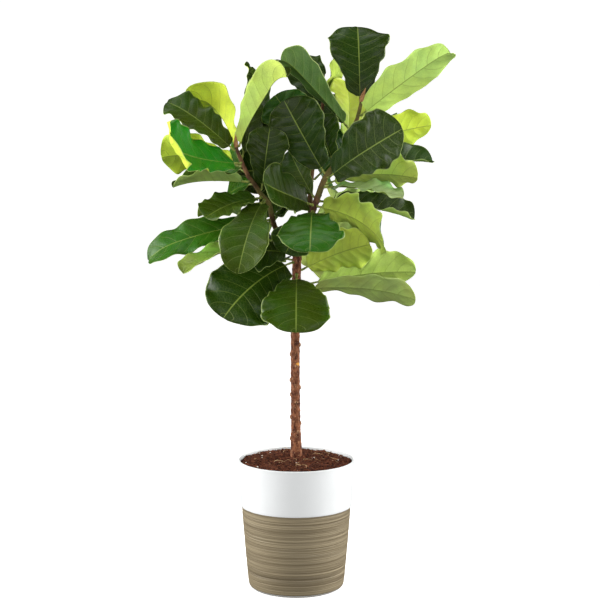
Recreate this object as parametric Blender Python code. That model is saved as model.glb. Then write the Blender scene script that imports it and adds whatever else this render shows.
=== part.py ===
"""Potted fiddle leaf fig standing in a two-tone planter.

Metres, +Z up, +X to the right, -Y to the front. The origin is the middle of the
planter's flat underside. Tables are in millimetres and degrees.
"""
import math
import random

import bmesh
import bpy
from mathutils import Matrix, Vector

MM = 0.001

# planter: one moulded pot, smooth band above and combed body below
RIM_RADIUS = 125
PLANTER_HEIGHT = 280
BAND_BOTTOM = 180
BAND_EDGE_RADIUS = 120
BODY_TOP_RADIUS = 118
BASE_RADIUS = 103.5
CORNER = 12
GROOVE_HEIGHT = 41
WALL = 4

# grower pot that stands inside the planter, and the potting mix that fills it
GROWER_RIM_RADIUS = 117
GROWER_BASE_RADIUS = 88
GROWER_HEIGHT = 273
GROWER_WALL = 1.6
SOIL_EDGE_HEIGHT = 271
SOIL_MOUND_HEIGHT = 286
SOCKET_DEPTH = 70
GAP = 0.4

# leaves
BLADE_THICKNESS = 0.8
PETIOLE_RADIUS = 2.4
ALONG = 8
ACROSS = 4


def clear_scene():
    for old in list(bpy.data.objects):
        bpy.data.objects.remove(old, do_unlink=True)


def material(name, colour, roughness, metallic=0.0):
    made = bpy.data.materials.new(name)
    made.use_nodes = True
    shader = made.node_tree.nodes["Principled BSDF"]
    shader.inputs["Base Color"].default_value = (*colour, 1.0)
    shader.inputs["Roughness"].default_value = roughness
    shader.inputs["Metallic"].default_value = metallic
    made.diffuse_color = (*colour, 1.0)
    return made


def add_body(name, points, faces, look, smooth=True):
    """One closed body from points in millimetres, with its faces turned out."""
    mesh = bpy.data.meshes.new(name)
    mesh.from_pydata([tuple(p * MM for p in point) for point in points], [], faces)
    work = bmesh.new()
    work.from_mesh(mesh)
    bmesh.ops.recalc_face_normals(work, faces=work.faces)
    if work.calc_volume(signed=True) < 0:
        bmesh.ops.reverse_faces(work, faces=work.faces)
    for face in work.faces:
        face.smooth = smooth
    work.to_mesh(mesh)
    work.free()
    mesh.materials.append(look)
    body = bpy.data.objects.new(name, mesh)
    bpy.context.scene.collection.objects.link(body)
    return body


def rings_to_faces(count, size):
    """Triangles between neighbouring rings, and a fan over each end.

    The second half of each ring is split the other way, so that the two faces of a
    thin blade bend along the same lines.
    """
    faces = []
    for row in range(count - 1):
        for k in range(size):
            nxt = (k + 1) % size
            a, b = row * size + k, row * size + nxt
            c, d = (row + 1) * size + nxt, (row + 1) * size + k
            if k < size // 2:
                faces += [(a, b, c), (a, c, d)]
            else:
                faces += [(a, b, d), (b, c, d)]
    last = (count - 1) * size
    for k in range(size // 2 - 1):
        a, b, c, d = k, k + 1, size - 2 - k, size - 1 - k
        faces += [(c, b, a), (d, c, a)]
        faces += [(last + a, last + b, last + c), (last + a, last + c, last + d)]
    return faces


def turned(name, profile, look, segments=56, bump=None):
    """A body of revolution: profile of (radius, height) from axis to axis, or a loop."""
    points = []
    faces = []
    index = []
    for radius, height in profile:
        if radius == 0:
            index.append([len(points)])
            points.append((0.0, 0.0, height))
            continue
        ring = []
        for k in range(segments):
            angle = 2 * math.pi * k / segments
            lift = bump(radius, height, angle) if bump else 0.0
            ring.append(len(points))
            points.append((radius * math.cos(angle), radius * math.sin(angle), height + lift))
        index.append(ring)
    closed_loop = profile[0][0] != 0
    pairs = list(zip(index, index[1:]))
    if closed_loop:
        pairs.append((index[-1], index[0]))
    for low, high in pairs:
        for k in range(segments):
            nxt = (k + 1) % segments
            if len(low) == 1:
                faces.append((low[0], high[nxt], high[k]))
            elif len(high) == 1:
                faces.append((low[k], low[nxt], high[0]))
            else:
                faces.append((low[k], low[nxt], high[nxt], high[k]))
    return add_body(name, points, faces, look)


def path_point(path, height):
    """Middle and radius of a stem where it passes the given height, on a smooth curve."""
    for k in range(len(path) - 1):
        if height <= path[k + 1][2] or k == len(path) - 2:
            break
    before = path[max(k - 1, 0)]
    low = path[k]
    high = path[k + 1]
    after = path[min(k + 2, len(path) - 1)]
    t = (height - low[2]) / (high[2] - low[2])
    out = []
    for axis in (0, 1, 3):
        a, b, c, d = before[axis], low[axis], high[axis], after[axis]
        out.append(b + 0.5 * t * (c - a + t * (2 * a - 5 * b + 4 * c - d
                                               + t * (3 * (b - c) + d - a))))
    return Vector((out[0], out[1], height)), out[2]


def stem(name, path, look, rings, sides, wobble=0.0, seed=1):
    """A tapering round stem along a path, with slightly swollen nodes."""
    rng = random.Random(seed)
    points = []
    low = path[0][2]
    high = path[-1][2]
    for row in range(rings):
        height = low + (high - low) * row / (rings - 1)
        middle, radius = path_point(path, height)
        ahead = path_point(path, min(height + 4, high))[0]
        behind = path_point(path, max(height - 4, low))[0]
        along = (ahead - behind).normalized()
        if (name == "trunk" and row == rings - 1) or (name == "branch_right" and row == 0):
            along = Vector((0, 0, 1))
        side = (Vector((1, 0, 0)) - along * along.x).normalized()
        other = along.cross(side)
        radius *= 1 + rng.uniform(-wobble, wobble)
        for k in range(sides):
            angle = 2 * math.pi * k / sides
            spot = middle + side * (radius * math.cos(angle)) + other * (radius * math.sin(angle))
            points.append(tuple(spot))
    return add_body(name, points, rings_to_faces(rings, sides), look)


# Half width of the blade as a share of its widest, from leaf stalk to tip: narrow
# base, waist like a fiddle, broad far end.
OUTLINE = [(0.0, 0.13), (0.04, 0.34), (0.10, 0.46), (0.20, 0.54), (0.32, 0.64), (0.45, 0.80),
           (0.58, 0.94), (0.68, 1.0), (0.80, 0.96), (0.89, 0.80), (0.95, 0.58),
           (0.985, 0.32), (1.0, 0.10)]


def outline(share):
    for (s0, w0), (s1, w1) in zip(OUTLINE, OUTLINE[1:]):
        if share <= s1:
            return w0 + (w1 - w0) * (share - s0) / (s1 - s0)
    return OUTLINE[-1][1]


def leaf_frames(base, row, steps):
    """Points and directions along the stalk and midrib: (share, middle, right, up, length)."""
    tip, roll, arch1, arch2, sway, twist, hook = row
    chord = tip - base
    size = chord.length
    along = chord / size
    up = Vector((0, 0, 1)) - along * along.z
    if up.length < 0.05:
        up = Vector((0, -1, 0)) - along * -along.y
    up.normalize()
    up = Matrix.Rotation(math.radians(roll), 3, along) @ up
    right = along.cross(up)
    first = base + size * (0.33 * along + arch1 * up + sway * right)
    second = base + size * (0.70 * along + arch2 * up + sway * right)
    fine = 160
    spots = []
    spot = base.copy()
    length = 0.0
    for k in range(fine + 1):
        t = k / fine
        speed = (3 * (1 - t) ** 2 * (first - base) + 6 * (1 - t) * t * (second - first)
                 + 3 * t * t * (tip - second))
        bend = max(0.0, (t - 0.72) / 0.28)
        way = speed.normalized()
        way = Matrix.Rotation(math.radians(hook) * bend ** 1.3, 3, right) @ way
        spots.append((length, spot.copy(), way))
        step = speed.length / fine
        spot = spot + way * step
        length += step
    frames = []
    for share in steps:
        want = share * length
        k = min(range(len(spots)), key=lambda i: abs(spots[i][0] - want))
        middle, way = spots[k][1], spots[k][2]
        side = (right - way * right.dot(way)).normalized()
        side = Matrix.Rotation(math.radians(twist) * share, 3, way) @ side
        frames.append((share, middle, side, side.cross(way), length))
    return frames


def leaf_points(base, tip, roll, half_width, arches, section, turn, stalk, seed):
    """Rings of points over one leaf: round stalk first, then the blade to its tip."""
    arch1, arch2, sway = arches
    fold, cup_left, cup_right, shape = section
    twist, hook = turn
    rng = random.Random(seed)
    waves = rng.choice((1.6, 2.1, 2.4))
    phase = rng.uniform(0, 6.28)
    rough = (tip - base).length * 1.06
    start = min(0.4, stalk / rough)
    blade_shares = (0.0, 0.10, 0.25, 0.42, 0.58, 0.72, 0.85, 0.95, 1.0)
    steps = [0.0, start * 0.5, start * 0.93]
    steps += [start + (1 - start) * s for s in blade_shares]
    frames = leaf_frames(base, (tip, roll, arch1, arch2, sway, twist, hook), steps)
    size = 2 * (ACROSS + 1)
    points = []
    for number, (share, middle, side, up, length) in enumerate(frames):
        if number < 3:
            radius = PETIOLE_RADIUS * (1 - 0.12 * number)
            for k in range(size):
                angle = math.pi - (k + 0.5) * 2 * math.pi / size
                points.append(middle + side * radius * math.cos(angle)
                              + up * radius * math.sin(angle))
            continue
        s = blade_shares[number - 3]
        width = half_width * outline(s ** shape)
        top = []
        low = []
        for k in range(ACROSS + 1):
            u = 2 * k / ACROSS - 1
            reach = abs(u)
            cup = math.radians(cup_left if u < 0 else cup_right) * (0.35 + 0.65 * s)
            lean = math.radians(fold) * (1 - 0.3 * s) * min(1.0, 0.3 + 7 * s)
            turn_here = lean + cup * reach * 0.5
            out = reach * width * math.cos(turn_here)
            lift = reach * width * math.sin(turn_here)
            lift += 0.10 * width * reach ** 2 * math.sin(2 * math.pi * waves * s + phase
                                                         + (1.3 if u < 0 else 0.0))
            spot = middle + side * math.copysign(out, u) + up * lift
            half = BLADE_THICKNESS * (0.5 if reach < 0.9 else 0.35)
            rib = 1.6 * (1 - 0.8 * s) if k == ACROSS // 2 else 0.0
            top.append(spot + up * half)
            low.append(spot - up * (half + rib))
        points.extend(top)
        points.extend(reversed(low))
    return points, len(frames), size


clear_scene()

# planter: outer wall up to the rim, then down the inside to the flat floor
planter_look = material("planter_look", (0.62, 0.58, 0.50), 0.45)
outer = [(0, 0), (BASE_RADIUS - CORNER, 0)]
for step in range(1, 5):
    angle = math.radians(90 * step / 4)
    outer.append((BASE_RADIUS - CORNER + CORNER * math.sin(angle),
                  CORNER - CORNER * math.cos(angle)))


def body_radius(height):
    """Outside of the combed body, slightly bellied between base and band."""
    share = (height - CORNER) / (BAND_BOTTOM - CORNER)
    return BASE_RADIUS + (BODY_TOP_RADIUS - BASE_RADIUS) * share ** 0.85


outer += [(body_radius(GROOVE_HEIGHT - 2), GROOVE_HEIGHT - 2),
          (body_radius(GROOVE_HEIGHT) - 1.2, GROOVE_HEIGHT),
          (body_radius(GROOVE_HEIGHT + 2), GROOVE_HEIGHT + 2)]
for height in (80, 120, 155):
    outer.append((body_radius(height), height))
outer += [(BODY_TOP_RADIUS, BAND_BOTTOM), (BAND_EDGE_RADIUS, BAND_BOTTOM + 1),
          (RIM_RADIUS - 2.4, 240), (RIM_RADIUS - 0.3, PLANTER_HEIGHT - 2.5),
          (RIM_RADIUS - 1.2, PLANTER_HEIGHT - 0.4), (RIM_RADIUS - 2.0, PLANTER_HEIGHT),
          (RIM_RADIUS - WALL + 0.8, PLANTER_HEIGHT - 0.4),
          (RIM_RADIUS - WALL, PLANTER_HEIGHT - 2.5), (RIM_RADIUS - 2.4 - WALL, 240),
          (BODY_TOP_RADIUS - WALL, BAND_BOTTOM), (body_radius(80) - WALL, 80),
          (BASE_RADIUS - WALL - 1, CORNER + 4), (BASE_RADIUS - CORNER - 1, WALL), (0, WALL)]
turned("planter", outer, planter_look, 64)

# grower pot: thin tapered pot with a rolled rim, standing on the planter's floor
grower_look = material("grower_pot_look", (0.015, 0.015, 0.015), 0.5)
foot = WALL + GAP
grower = [(0, foot), (GROWER_BASE_RADIUS - 3, foot), (GROWER_BASE_RADIUS, foot + 3),
          (GROWER_RIM_RADIUS - 4, GROWER_HEIGHT - 18), (GROWER_RIM_RADIUS, GROWER_HEIGHT - 16),
          (GROWER_RIM_RADIUS, GROWER_HEIGHT - 1), (GROWER_RIM_RADIUS - 1.5, GROWER_HEIGHT),
          (GROWER_RIM_RADIUS - 3.2, GROWER_HEIGHT - 1),
          (GROWER_RIM_RADIUS - 4 - GROWER_WALL, GROWER_HEIGHT - 18),
          (GROWER_BASE_RADIUS - GROWER_WALL, foot + 4),
          (GROWER_BASE_RADIUS - 3 - GROWER_WALL, foot + GROWER_WALL), (0, foot + GROWER_WALL)]
turned("grower_pot", grower, grower_look, 48)

# potting mix: fills the grower pot, mounded round the trunk, socket in the middle
soil_look = material("potting_mix_look", (0.10, 0.05, 0.035), 0.95)
soil_foot = foot + GROWER_WALL + 2 * GAP
inner_base = GROWER_BASE_RADIUS - GROWER_WALL - 4
inner_top = GROWER_RIM_RADIUS - 4 - GROWER_WALL - 0.6
socket = 12.5 + GAP


def soil_bump(radius, height, angle):
    """Low lumps on the open surface only, none at the socket or the pot wall."""
    if radius < 20 or radius > inner_top - 2 or height < SOIL_EDGE_HEIGHT:
        return 0.0
    return 1.6 * math.sin(5 * angle + 0.11 * radius) + 1.2 * math.sin(9 * angle - 0.2 * radius)


soil_profile = [(0, soil_foot), (inner_base, soil_foot + 1),
                (inner_top - 1, SOIL_EDGE_HEIGHT - 14), (inner_top + 0.2, SOIL_EDGE_HEIGHT)]
for radius in (104, 92, 78, 62, 46, 30, 20):
    share = 1 - radius / inner_top
    soil_profile.append((radius, SOIL_EDGE_HEIGHT
                         + (SOIL_MOUND_HEIGHT - SOIL_EDGE_HEIGHT) * share ** 0.5))
soil_profile += [(socket, SOIL_MOUND_HEIGHT - 2), (socket, SOIL_MOUND_HEIGHT - SOCKET_DEPTH),
                 (0, SOIL_MOUND_HEIGHT - SOCKET_DEPTH)]
turned("potting_mix", soil_profile, soil_look, 48, soil_bump)

# woody stems: (x, y, z, radius)
TRUNK = [(0, 0, 218, 11), (0, 0, 270, 12.4), (0, 0, 300, 12), (-1, 0, 345, 10.2),
         (-2, 0, 450, 9.4), (-2, 0, 560, 9.2), (0, 0, 660, 9.2), (2, 0, 725, 9.4), (4, 0, 745, 8.8)]
RIGHT = [(4, 0, 745.4, 8.2), (20, -5, 780, 7.6), (38, -8, 825, 7), (47, -8, 848, 6.6),
         (64, -6, 890, 6), (95, -2, 930, 5.4), (110, 0, 958, 5), (118, 2, 985, 4.6),
         (128, 4, 1008, 4.2), (137, 6, 1048, 3.4)]
LEFT = [(-16, -2, 738, 5.8), (-45, -10, 782, 5.6), (-57, -16, 832, 5.2), (-74, -21, 852, 5),
        (-87, -24, 872, 4.7), (-100, -26, 888, 4.4), (-115, -28, 923, 4), (-126, -30, 955, 3.4)]
MIDDLE = [(30, 7, 812, 5.6), (30, 26, 850, 5.4), (34, 42, 900, 5), (42, 52, 960, 4.4),
          (52, 56, 1010, 3.8), (58, 58, 1050, 3.2)]
STEMS = {"trunk": TRUNK, "right": RIGHT, "left": LEFT, "middle": MIDDLE}
stem("trunk", TRUNK, material("trunk_look", (0.23, 0.10, 0.06), 0.8),
     30, 16, 0.03, 4)
stem("branch_right", RIGHT, material("branch_right_look", (0.20, 0.10, 0.05), 0.8),
     18, 10, 0.03, 5)
stem("branch_left", LEFT, material("branch_left_look", (0.20, 0.10, 0.05), 0.8),
     14, 10, 0.03, 6)
stem("branch_middle", MIDDLE, material("branch_middle_look", (0.18, 0.11, 0.05), 0.8),
     12, 10, 0.03, 7)

# Leaves, one row each: name, stem, height on it, tip x y z, roll about the chord,
# half width, (bow near base, bow near tip, sideways sway), (fold, cup left, cup right,
# outline shift), (twist, hook of the tip), stalk length
LEAVES = [
    ("leaf_01", "right", 1044, (130, 85, 1200), 0, 66, (.05, .15, 0), (10, -10, -10, 1.1), (0, 0), 12),
    ("leaf_02", "right", 1016, (328, -50, 1158), -72, 43, (.10, .10, 0), (18, 40, 0, .45), (0, -50), 16),
    ("leaf_03", "right", 984, (-35, -30, 1145), 60, 46, (.05, .05, 0), (60, 0, 0, 1), (0, -60), 20),
    ("leaf_04", "left", 950, (-32, -30, 1115), -45, 46, (.10, -.05, 0), (75, 0, 0, 1), (0, -90), 10),
    ("leaf_05", "left", 930, (-240, 80, 1062), 60, 57, (.13, .26, 0), (30, 0, 0, .9), (0, -150), 20),
    ("leaf_06", "left", 945, (-270, 2, 1042), -30, 54, (.05, .10, 0), (10, 0, 0, .8), (0, 0), 15),
    ("leaf_07", "left", 918, (-265, -165, 978), -47, 70, (-.10, -.20, 0), (10, 20, 20, 1), (0, 30), 15),
    ("leaf_08", "left", 912, (-285, 30, 925), 50, 58, (.10, .15, 0), (15, 0, 0, 1), (0, 0), 20),
    ("leaf_09", "left", 882, (-255, -60, 868), 5, 48, (.05, .10, 0), (35, 0, 0, .8), (0, 0), 15),
    ("leaf_10", "left", 874, (-160, 110, 820), -50, 52, (.10, .10, 0), (10, 0, 0, 1), (0, 0), 12),
    ("leaf_12", "left", 848, (-185, -110, 810), -20, 48, (.10, .10, 0), (15, 0, 0, 1), (0, 0), 14),
    ("leaf_13", "left", 838, (-205, -35, 805), 10, 42, (.05, .05, 0), (30, 30, 30, 1), (0, 0), 20),
    ("leaf_14", "left", 798, (-323, -20, 718), -40, 46, (.05, .10, 0), (10, 0, 0, .7), (0, -30), 30),
    ("leaf_15", "left", 758, (-228, -150, 699), 0, 48, (.10, .10, 0), (20, 0, 0, 1), (0, 0), 25),
    ("leaf_16", "left", 842, (-116, -208, 706), -6, 50, (.15, .15, 0), (20, 0, 0, 1), (0, 0), 25),
    ("leaf_17", "right", 826, (-65, -120, 882), -60, 60, (0, -.05, 0), (15, 0, 0, .85), (0, 0), 15),
    ("leaf_18", "right", 814, (28, -200, 750), 0, 66, (.17, .15, 0), (5, -15, -15, 1), (0, 0), 40),
    ("leaf_19", "right", 892, (-25, 10, 1045), -90, 62, (.05, .05, 0), (5, -10, -10, 1), (0, 0), 12),
    ("leaf_20", "right", 842, (-14, 42, 940), -80, 38, (.05, .05, 0), (10, 0, 0, 1), (0, 0), 10),
    ("leaf_21", "right", 888, (218, -80, 990), 70, 70, (.08, .03, 0), (15, 0, 0, .9), (0, 0), 16),
    ("leaf_22", "right", 875, (255, 0, 883), -40, 60, (.15, .10, 0), (20, 0, 0, 1), (0, 0), 20),
    ("leaf_23", "right", 935, (290, 100, 990), -60, 47, (.10, .10, 0), (10, 0, 0, 1), (0, 0), 40),
    ("leaf_24", "right", 905, (292, 80, 915), 30, 42, (.05, .05, 0), (30, 30, 30, 1), (0, 0), 40),
    ("leaf_25", "right", 868, (222, -50, 846), 10, 45, (.08, .05, 0), (15, 0, 0, 1), (0, 0), 20),
    ("leaf_26", "right", 828, (180, -110, 752), -50, 72, (.15, .15, 0), (10, 0, 0, .75), (0, 0), 12),
    ("leaf_27", "right", 838, (250, 20, 795), 30, 50, (.05, .05, 0), (30, 40, 40, 1), (0, 0), 30),
    ("leaf_28", "trunk", 690, (155, -20, 745), -60, 55, (.10, .10, 0), (10, 0, 0, .8), (0, 0), 15),
    ("leaf_29", "trunk", 655, (258, 85, 674), -60, 52, (.06, .08, 0), (20, 0, 0, .9), (0, 0), 44),
    ("leaf_30", "trunk", 648, (250, -40, 630), -45, 48, (.10, .10, 0), (10, 0, 0, 1), (0, 0), 32),
    ("leaf_31", "trunk", 680, (0, -190, 584), 0, 72, (.15, .20, 0), (5, -10, -10, 1), (0, 0), 44),
    ("leaf_32", "trunk", 705, (-150, -100, 600), -40, 85, (.10, .10, .06), (5, -10, -10, .8), (0, 0), 20),
    ("leaf_33", "trunk", 725, (-112, -30, 732), -45, 54, (.05, .05, 0), (10, 0, 0, .8), (0, 0), 15),
    ("leaf_34", "middle", 903, (-136, 158, 884), -80, 55, (.10, .10, 0), (10, 0, 0, 1), (0, 0), 20),
    ("leaf_35", "left", 858, (-55, -15, 990), 70, 46, (.05, .05, 0), (20, 0, 0, 1), (0, 0), 12),
    ("leaf_36", "middle", 945, (-45, 70, 1055), -75, 54, (.05, .10, 0), (10, 0, 0, .9), (0, 0), 20),
    ("leaf_37", "left", 925, (-100, 150, 1115), 60, 44, (.05, .10, 0), (20, 0, 0, 1), (0, 0), 20),
    ("leaf_38", "right", 955, (108, 115, 1080), 30, 48, (.10, .10, 0), (15, 0, 0, 1), (0, 0), 15),
    ("leaf_39", "right", 915, (45, 35, 1010), -70, 48, (.05, .05, 0), (10, 0, 0, .9), (0, 0), 12),
    ("leaf_40", "middle", 1015, (5, 160, 1135), -20, 46, (.05, .10, 0), (10, 0, 0, 1), (0, 0), 20),
    ("leaf_41", "middle", 1035, (110, 125, 1130), -60, 48, (.05, .10, 0), (10, 0, 0, 1), (0, 0), 20),
    ("leaf_42", "right", 940, (188, 160, 1005), 0, 52, (.10, .10, 0), (10, 0, 0, 1), (0, 0), 36),
    ("leaf_43", "middle", 853, (-76, 72, 812), -50, 44, (.10, .10, 0), (10, 0, 0, 1), (0, 0), 20),
    ("leaf_44", "middle", 835, (-60, 95, 755), -30, 74, (.20, .15, 0), (10, 0, 0, .8), (0, 0), 15),
    ("leaf_45", "trunk", 725, (66, 170, 640), 20, 68, (.20, .15, 0), (10, 0, 0, 1), (0, 0), 25),
    ("leaf_46", "left", 896, (-150, 212, 912), -60, 58, (.15, .10, 0), (10, 0, 0, 1), (0, 0), 30),
    ("leaf_47", "trunk", 722, (-178, 160, 712), 0, 58, (.15, .10, 0), (10, 0, 0, 1), (0, 0), 25),
    ("leaf_48", "middle", 905, (60, 250, 862), 75, 62, (.15, .10, 0), (10, 0, 0, 1), (0, 0), 25),
    ("leaf_49", "middle", 985, (120, 225, 1040), 10, 56, (.10, .10, 0), (10, 0, 0, 1), (0, 0), 25),
    ("leaf_50", "right", 805, (170, 160, 790), -60, 62, (.15, .10, 0), (10, 0, 0, 1), (0, 0), 25),
    ("leaf_52", "right", 800, (-22, -62, 730), -30, 45, (.15, .15, 0), (10, 0, 0, 1), (0, 0), 15),
    ("leaf_53", "middle", 880, (115, 95, 960), 75, 52, (.10, .10, 0), (10, 0, 0, 1), (0, 0), 26),
    ("leaf_11", "middle", 957, (-125, 92, 985), -60, 44, (.05, .05, 0), (10, 0, 0, 1), (0, 0), 15),
    ("leaf_51", "trunk", 708, (-110, 150, 620), 0, 62, (.20, .15, 0), (10, 0, 0, 1), (0, 0), 25),
]

shades = random.Random(21)
for count, row in enumerate(LEAVES):
    name, where, height, tip, roll, wide, arches, section, turn, stalk = row
    middle, radius = path_point(STEMS[where], height)
    ahead = (path_point(STEMS[where], height + 3)[0] - path_point(STEMS[where], height - 3)[0])
    ahead.normalize()
    toward = Vector(tip) - middle
    toward = (toward - ahead * ahead.dot(toward)).normalized()
    base = middle + toward * (radius + PETIOLE_RADIUS + GAP)
    points, rings, size = leaf_points(base, Vector(tip), roll, wide, arches, section, turn,
                                      stalk, count)
    shade = shades.uniform(0.7, 1.4)
    leaf_look = material(name + "_look", (0.055 * shade, 0.13 * shade, 0.025 * shade), 0.4)
    add_body(name, points, rings_to_faces(rings, size), leaf_look)
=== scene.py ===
import math
import random

import bmesh
import bpy
from mathutils import Matrix, Vector, noise


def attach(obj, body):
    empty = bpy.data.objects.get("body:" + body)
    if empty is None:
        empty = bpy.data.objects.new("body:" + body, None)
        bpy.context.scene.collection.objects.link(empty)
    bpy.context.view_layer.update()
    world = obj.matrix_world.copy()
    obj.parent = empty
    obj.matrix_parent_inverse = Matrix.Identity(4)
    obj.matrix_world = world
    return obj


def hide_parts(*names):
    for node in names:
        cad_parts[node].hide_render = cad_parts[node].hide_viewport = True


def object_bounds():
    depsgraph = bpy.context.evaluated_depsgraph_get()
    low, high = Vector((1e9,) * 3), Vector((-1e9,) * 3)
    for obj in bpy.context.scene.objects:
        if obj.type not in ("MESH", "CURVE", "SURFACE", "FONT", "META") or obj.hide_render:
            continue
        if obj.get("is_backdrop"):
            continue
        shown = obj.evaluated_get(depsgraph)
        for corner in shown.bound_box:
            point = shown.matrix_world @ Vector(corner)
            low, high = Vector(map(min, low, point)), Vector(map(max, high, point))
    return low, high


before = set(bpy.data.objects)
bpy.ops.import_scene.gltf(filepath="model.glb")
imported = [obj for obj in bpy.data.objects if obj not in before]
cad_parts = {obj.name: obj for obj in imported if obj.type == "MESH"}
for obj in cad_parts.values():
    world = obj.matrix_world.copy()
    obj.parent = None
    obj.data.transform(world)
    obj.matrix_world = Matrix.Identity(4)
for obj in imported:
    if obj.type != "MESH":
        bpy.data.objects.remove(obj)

cad_low, cad_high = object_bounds()
MM = 0.001

# ---------------------------------------------------------------------------------------
# The studio. A round white cove with an open top, a soft lamp on each side, one above
# and two in front, high and low. None of it belongs to the plant.


def paint(red, green, blue):
    """A colour off the shade card, 0 to 255, as the linear colour a shader takes."""
    mixed = []
    for part in (red, green, blue):
        part /= 255
        mixed.append(part / 12.92 if part < 0.04045 else ((part + 0.055) / 1.055) ** 2.4)
    return (*mixed, 1.0)


def new_finish(name, colour, roughness, gloss=0.5):
    """A material with its Principled shader: returns the material, its tree, the shader."""
    made = bpy.data.materials.new(name)
    made.use_nodes = True
    shader = made.node_tree.nodes["Principled BSDF"]
    shader.inputs["Base Color"].default_value = colour
    shader.inputs["Roughness"].default_value = roughness
    shader.inputs["Specular IOR Level"].default_value = gloss
    return made, made.node_tree, shader


def place_object(name, mesh):
    made = bpy.data.objects.new(name, mesh)
    bpy.context.scene.collection.objects.link(made)
    return made


def skin(name, points, faces):
    """A mesh from points in millimetres and faces, shaded smooth."""
    mesh = bpy.data.meshes.new(name)
    mesh.from_pydata([[p * MM for p in point] for point in points], [], faces)
    mesh.shade_smooth()
    return mesh


def ring_points(radius, height, sides):
    return [(radius * math.cos(math.tau * k / sides), radius * math.sin(math.tau * k / sides),
             height) for k in range(sides)]


def ring_faces(low, high, sides):
    """Quads between two rings, each given by the number of its first point."""
    return [(low + k, low + (k + 1) % sides, high + (k + 1) % sides, high + k)
            for k in range(sides)]


def tube_faces(first, rings, sides):
    """Quads between rings that follow on from each other, from the point numbered first."""
    faces = []
    for low in range(first, first + (rings - 1) * sides, sides):
        faces += ring_faces(low, low + sides, sides)
    return faces


COVE_SIDES = 96
COVE_BEND_STEPS = 12
COVE_RADIUS = 8000
COVE_CORNER = 2500
COVE_HEIGHT = 6500
cove_line = [(1, 0), (COVE_RADIUS - COVE_CORNER, 0)]
for step in range(1, COVE_BEND_STEPS + 1):
    turn = math.radians(90 * step / COVE_BEND_STEPS)
    cove_line.append((COVE_RADIUS - COVE_CORNER + COVE_CORNER * math.sin(turn),
                      COVE_CORNER - COVE_CORNER * math.cos(turn)))
cove_line.append((COVE_RADIUS, COVE_HEIGHT))
cove_points = [point for r, z in cove_line for point in ring_points(r, z, COVE_SIDES)]
cove_faces = tube_faces(0, len(cove_line), COVE_SIDES)
cove_faces.append(tuple(range(COVE_SIDES - 1, -1, -1)))
cove_finish, _, cove_shader = new_finish("cove_white", (0.90, 0.90, 0.90, 1), 0.9, 0.0)
cove_shader.inputs["Emission Color"].default_value = (1, 1, 1, 1)
cove_shader.inputs["Emission Strength"].default_value = 0.72
cove = place_object("cove", skin("cove", cove_points, cove_faces))
cove.data.materials.append(cove_finish)
cove.visible_diffuse = cove.visible_glossy = cove.visible_shadow = False
cove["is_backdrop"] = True

sky = bpy.data.worlds.new("studio_sky")
sky.use_nodes = True
sky.node_tree.nodes["Background"].inputs["Color"].default_value = (1, 1, 1, 1)
sky.node_tree.nodes["Background"].inputs["Strength"].default_value = 0.27
sky.cycles_visibility.glossy = False
bpy.context.scene.world = sky
bpy.context.scene.view_settings.view_transform = "Standard"

LAMPS = [("lamp_left", (-2.3, 0.0, 1.2), (0, 0, 0.5), 1.8, 94),
         ("lamp_right", (2.3, 0.1, 1.2), (0, 0, 0.5), 1.8, 92),
         ("lamp_above", (-0.5, 0.3, 3.4), (0, 0, 0.8), 1.6, 26),
         ("lamp_front", (-1.4, -3.3, 2.2), (0, 0, 0.6), 2.0, 38),
         ("lamp_low", (0.9, -3.1, 0.5), (0, 0, 0.9), 1.5, 30)]
for name, spot, target, width, watts in LAMPS:
    lamp = bpy.data.objects.new(name, bpy.data.lights.new(name, "AREA"))
    lamp.data.size = width
    lamp.data.energy = watts
    lamp.location = spot
    lamp.rotation_euler = (Vector(target) - Vector(spot)).to_track_quat("-Z", "Y").to_euler()
    lamp.visible_camera = False
    bpy.context.scene.collection.objects.link(lamp)

camera = bpy.data.objects.new("camera", bpy.data.cameras.new("camera"))
camera.data.lens = 108.3
camera.data.sensor_width = 36
camera.location = (0.008, -3.8, 1.143)
camera.rotation_euler = (math.radians(90 - 7.77), 0, 0)
bpy.context.scene.collection.objects.link(camera)
bpy.context.scene.camera = camera

# ---------------------------------------------------------------------------------------
# The planter. One moulded pot: a smooth white band on top, and below it a clay-brown
# body whose skin is combed in fine rings, with a deeper groove near the foot.

RIM_RADIUS = 125
PLANTER_HEIGHT = 280
BAND_BOTTOM = 180
BAND_EDGE_RADIUS = 120
BODY_TOP_RADIUS = 118
BASE_RADIUS = 103.5
FOOT_CORNER = 12
GROOVE_HEIGHT = 41
WALL = 4
COMB_PITCH = 3.4
COMB_DEPTH = 0.55
PLANTER_SIDES = 144


def add(tree, kind, **settings):
    made = tree.nodes.new(kind)
    for key, value in settings.items():
        setattr(made, key, value)
    return made


def feed(tree, socket, value):
    """Wires a value into a socket, or sets the socket when the value is plain."""
    if isinstance(value, bpy.types.NodeSocket):
        tree.links.new(value, socket)
    else:
        socket.default_value = value


def reckon(tree, operation, *values):
    made = add(tree, "ShaderNodeMath", operation=operation)
    for socket, value in zip(made.inputs, values):
        feed(tree, socket, value)
    return made.outputs[0]


def between(tree, value, low, high):
    """0 below low, 1 above high, eased in between."""
    made = add(tree, "ShaderNodeMapRange", interpolation_type="SMOOTHSTEP")
    for socket, given in zip(made.inputs, (value, low, high, 0.0, 1.0)):
        feed(tree, socket, given)
    return made.outputs[0]


def stretched(tree, scale=(1, 1, 1)):
    """The piece's own coordinates, scaled."""
    where = add(tree, "ShaderNodeTexCoord")
    mapping = add(tree, "ShaderNodeMapping")
    mapping.inputs["Scale"].default_value = scale
    tree.links.new(where.outputs["Object"], mapping.inputs["Vector"])
    return mapping.outputs[0]


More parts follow.
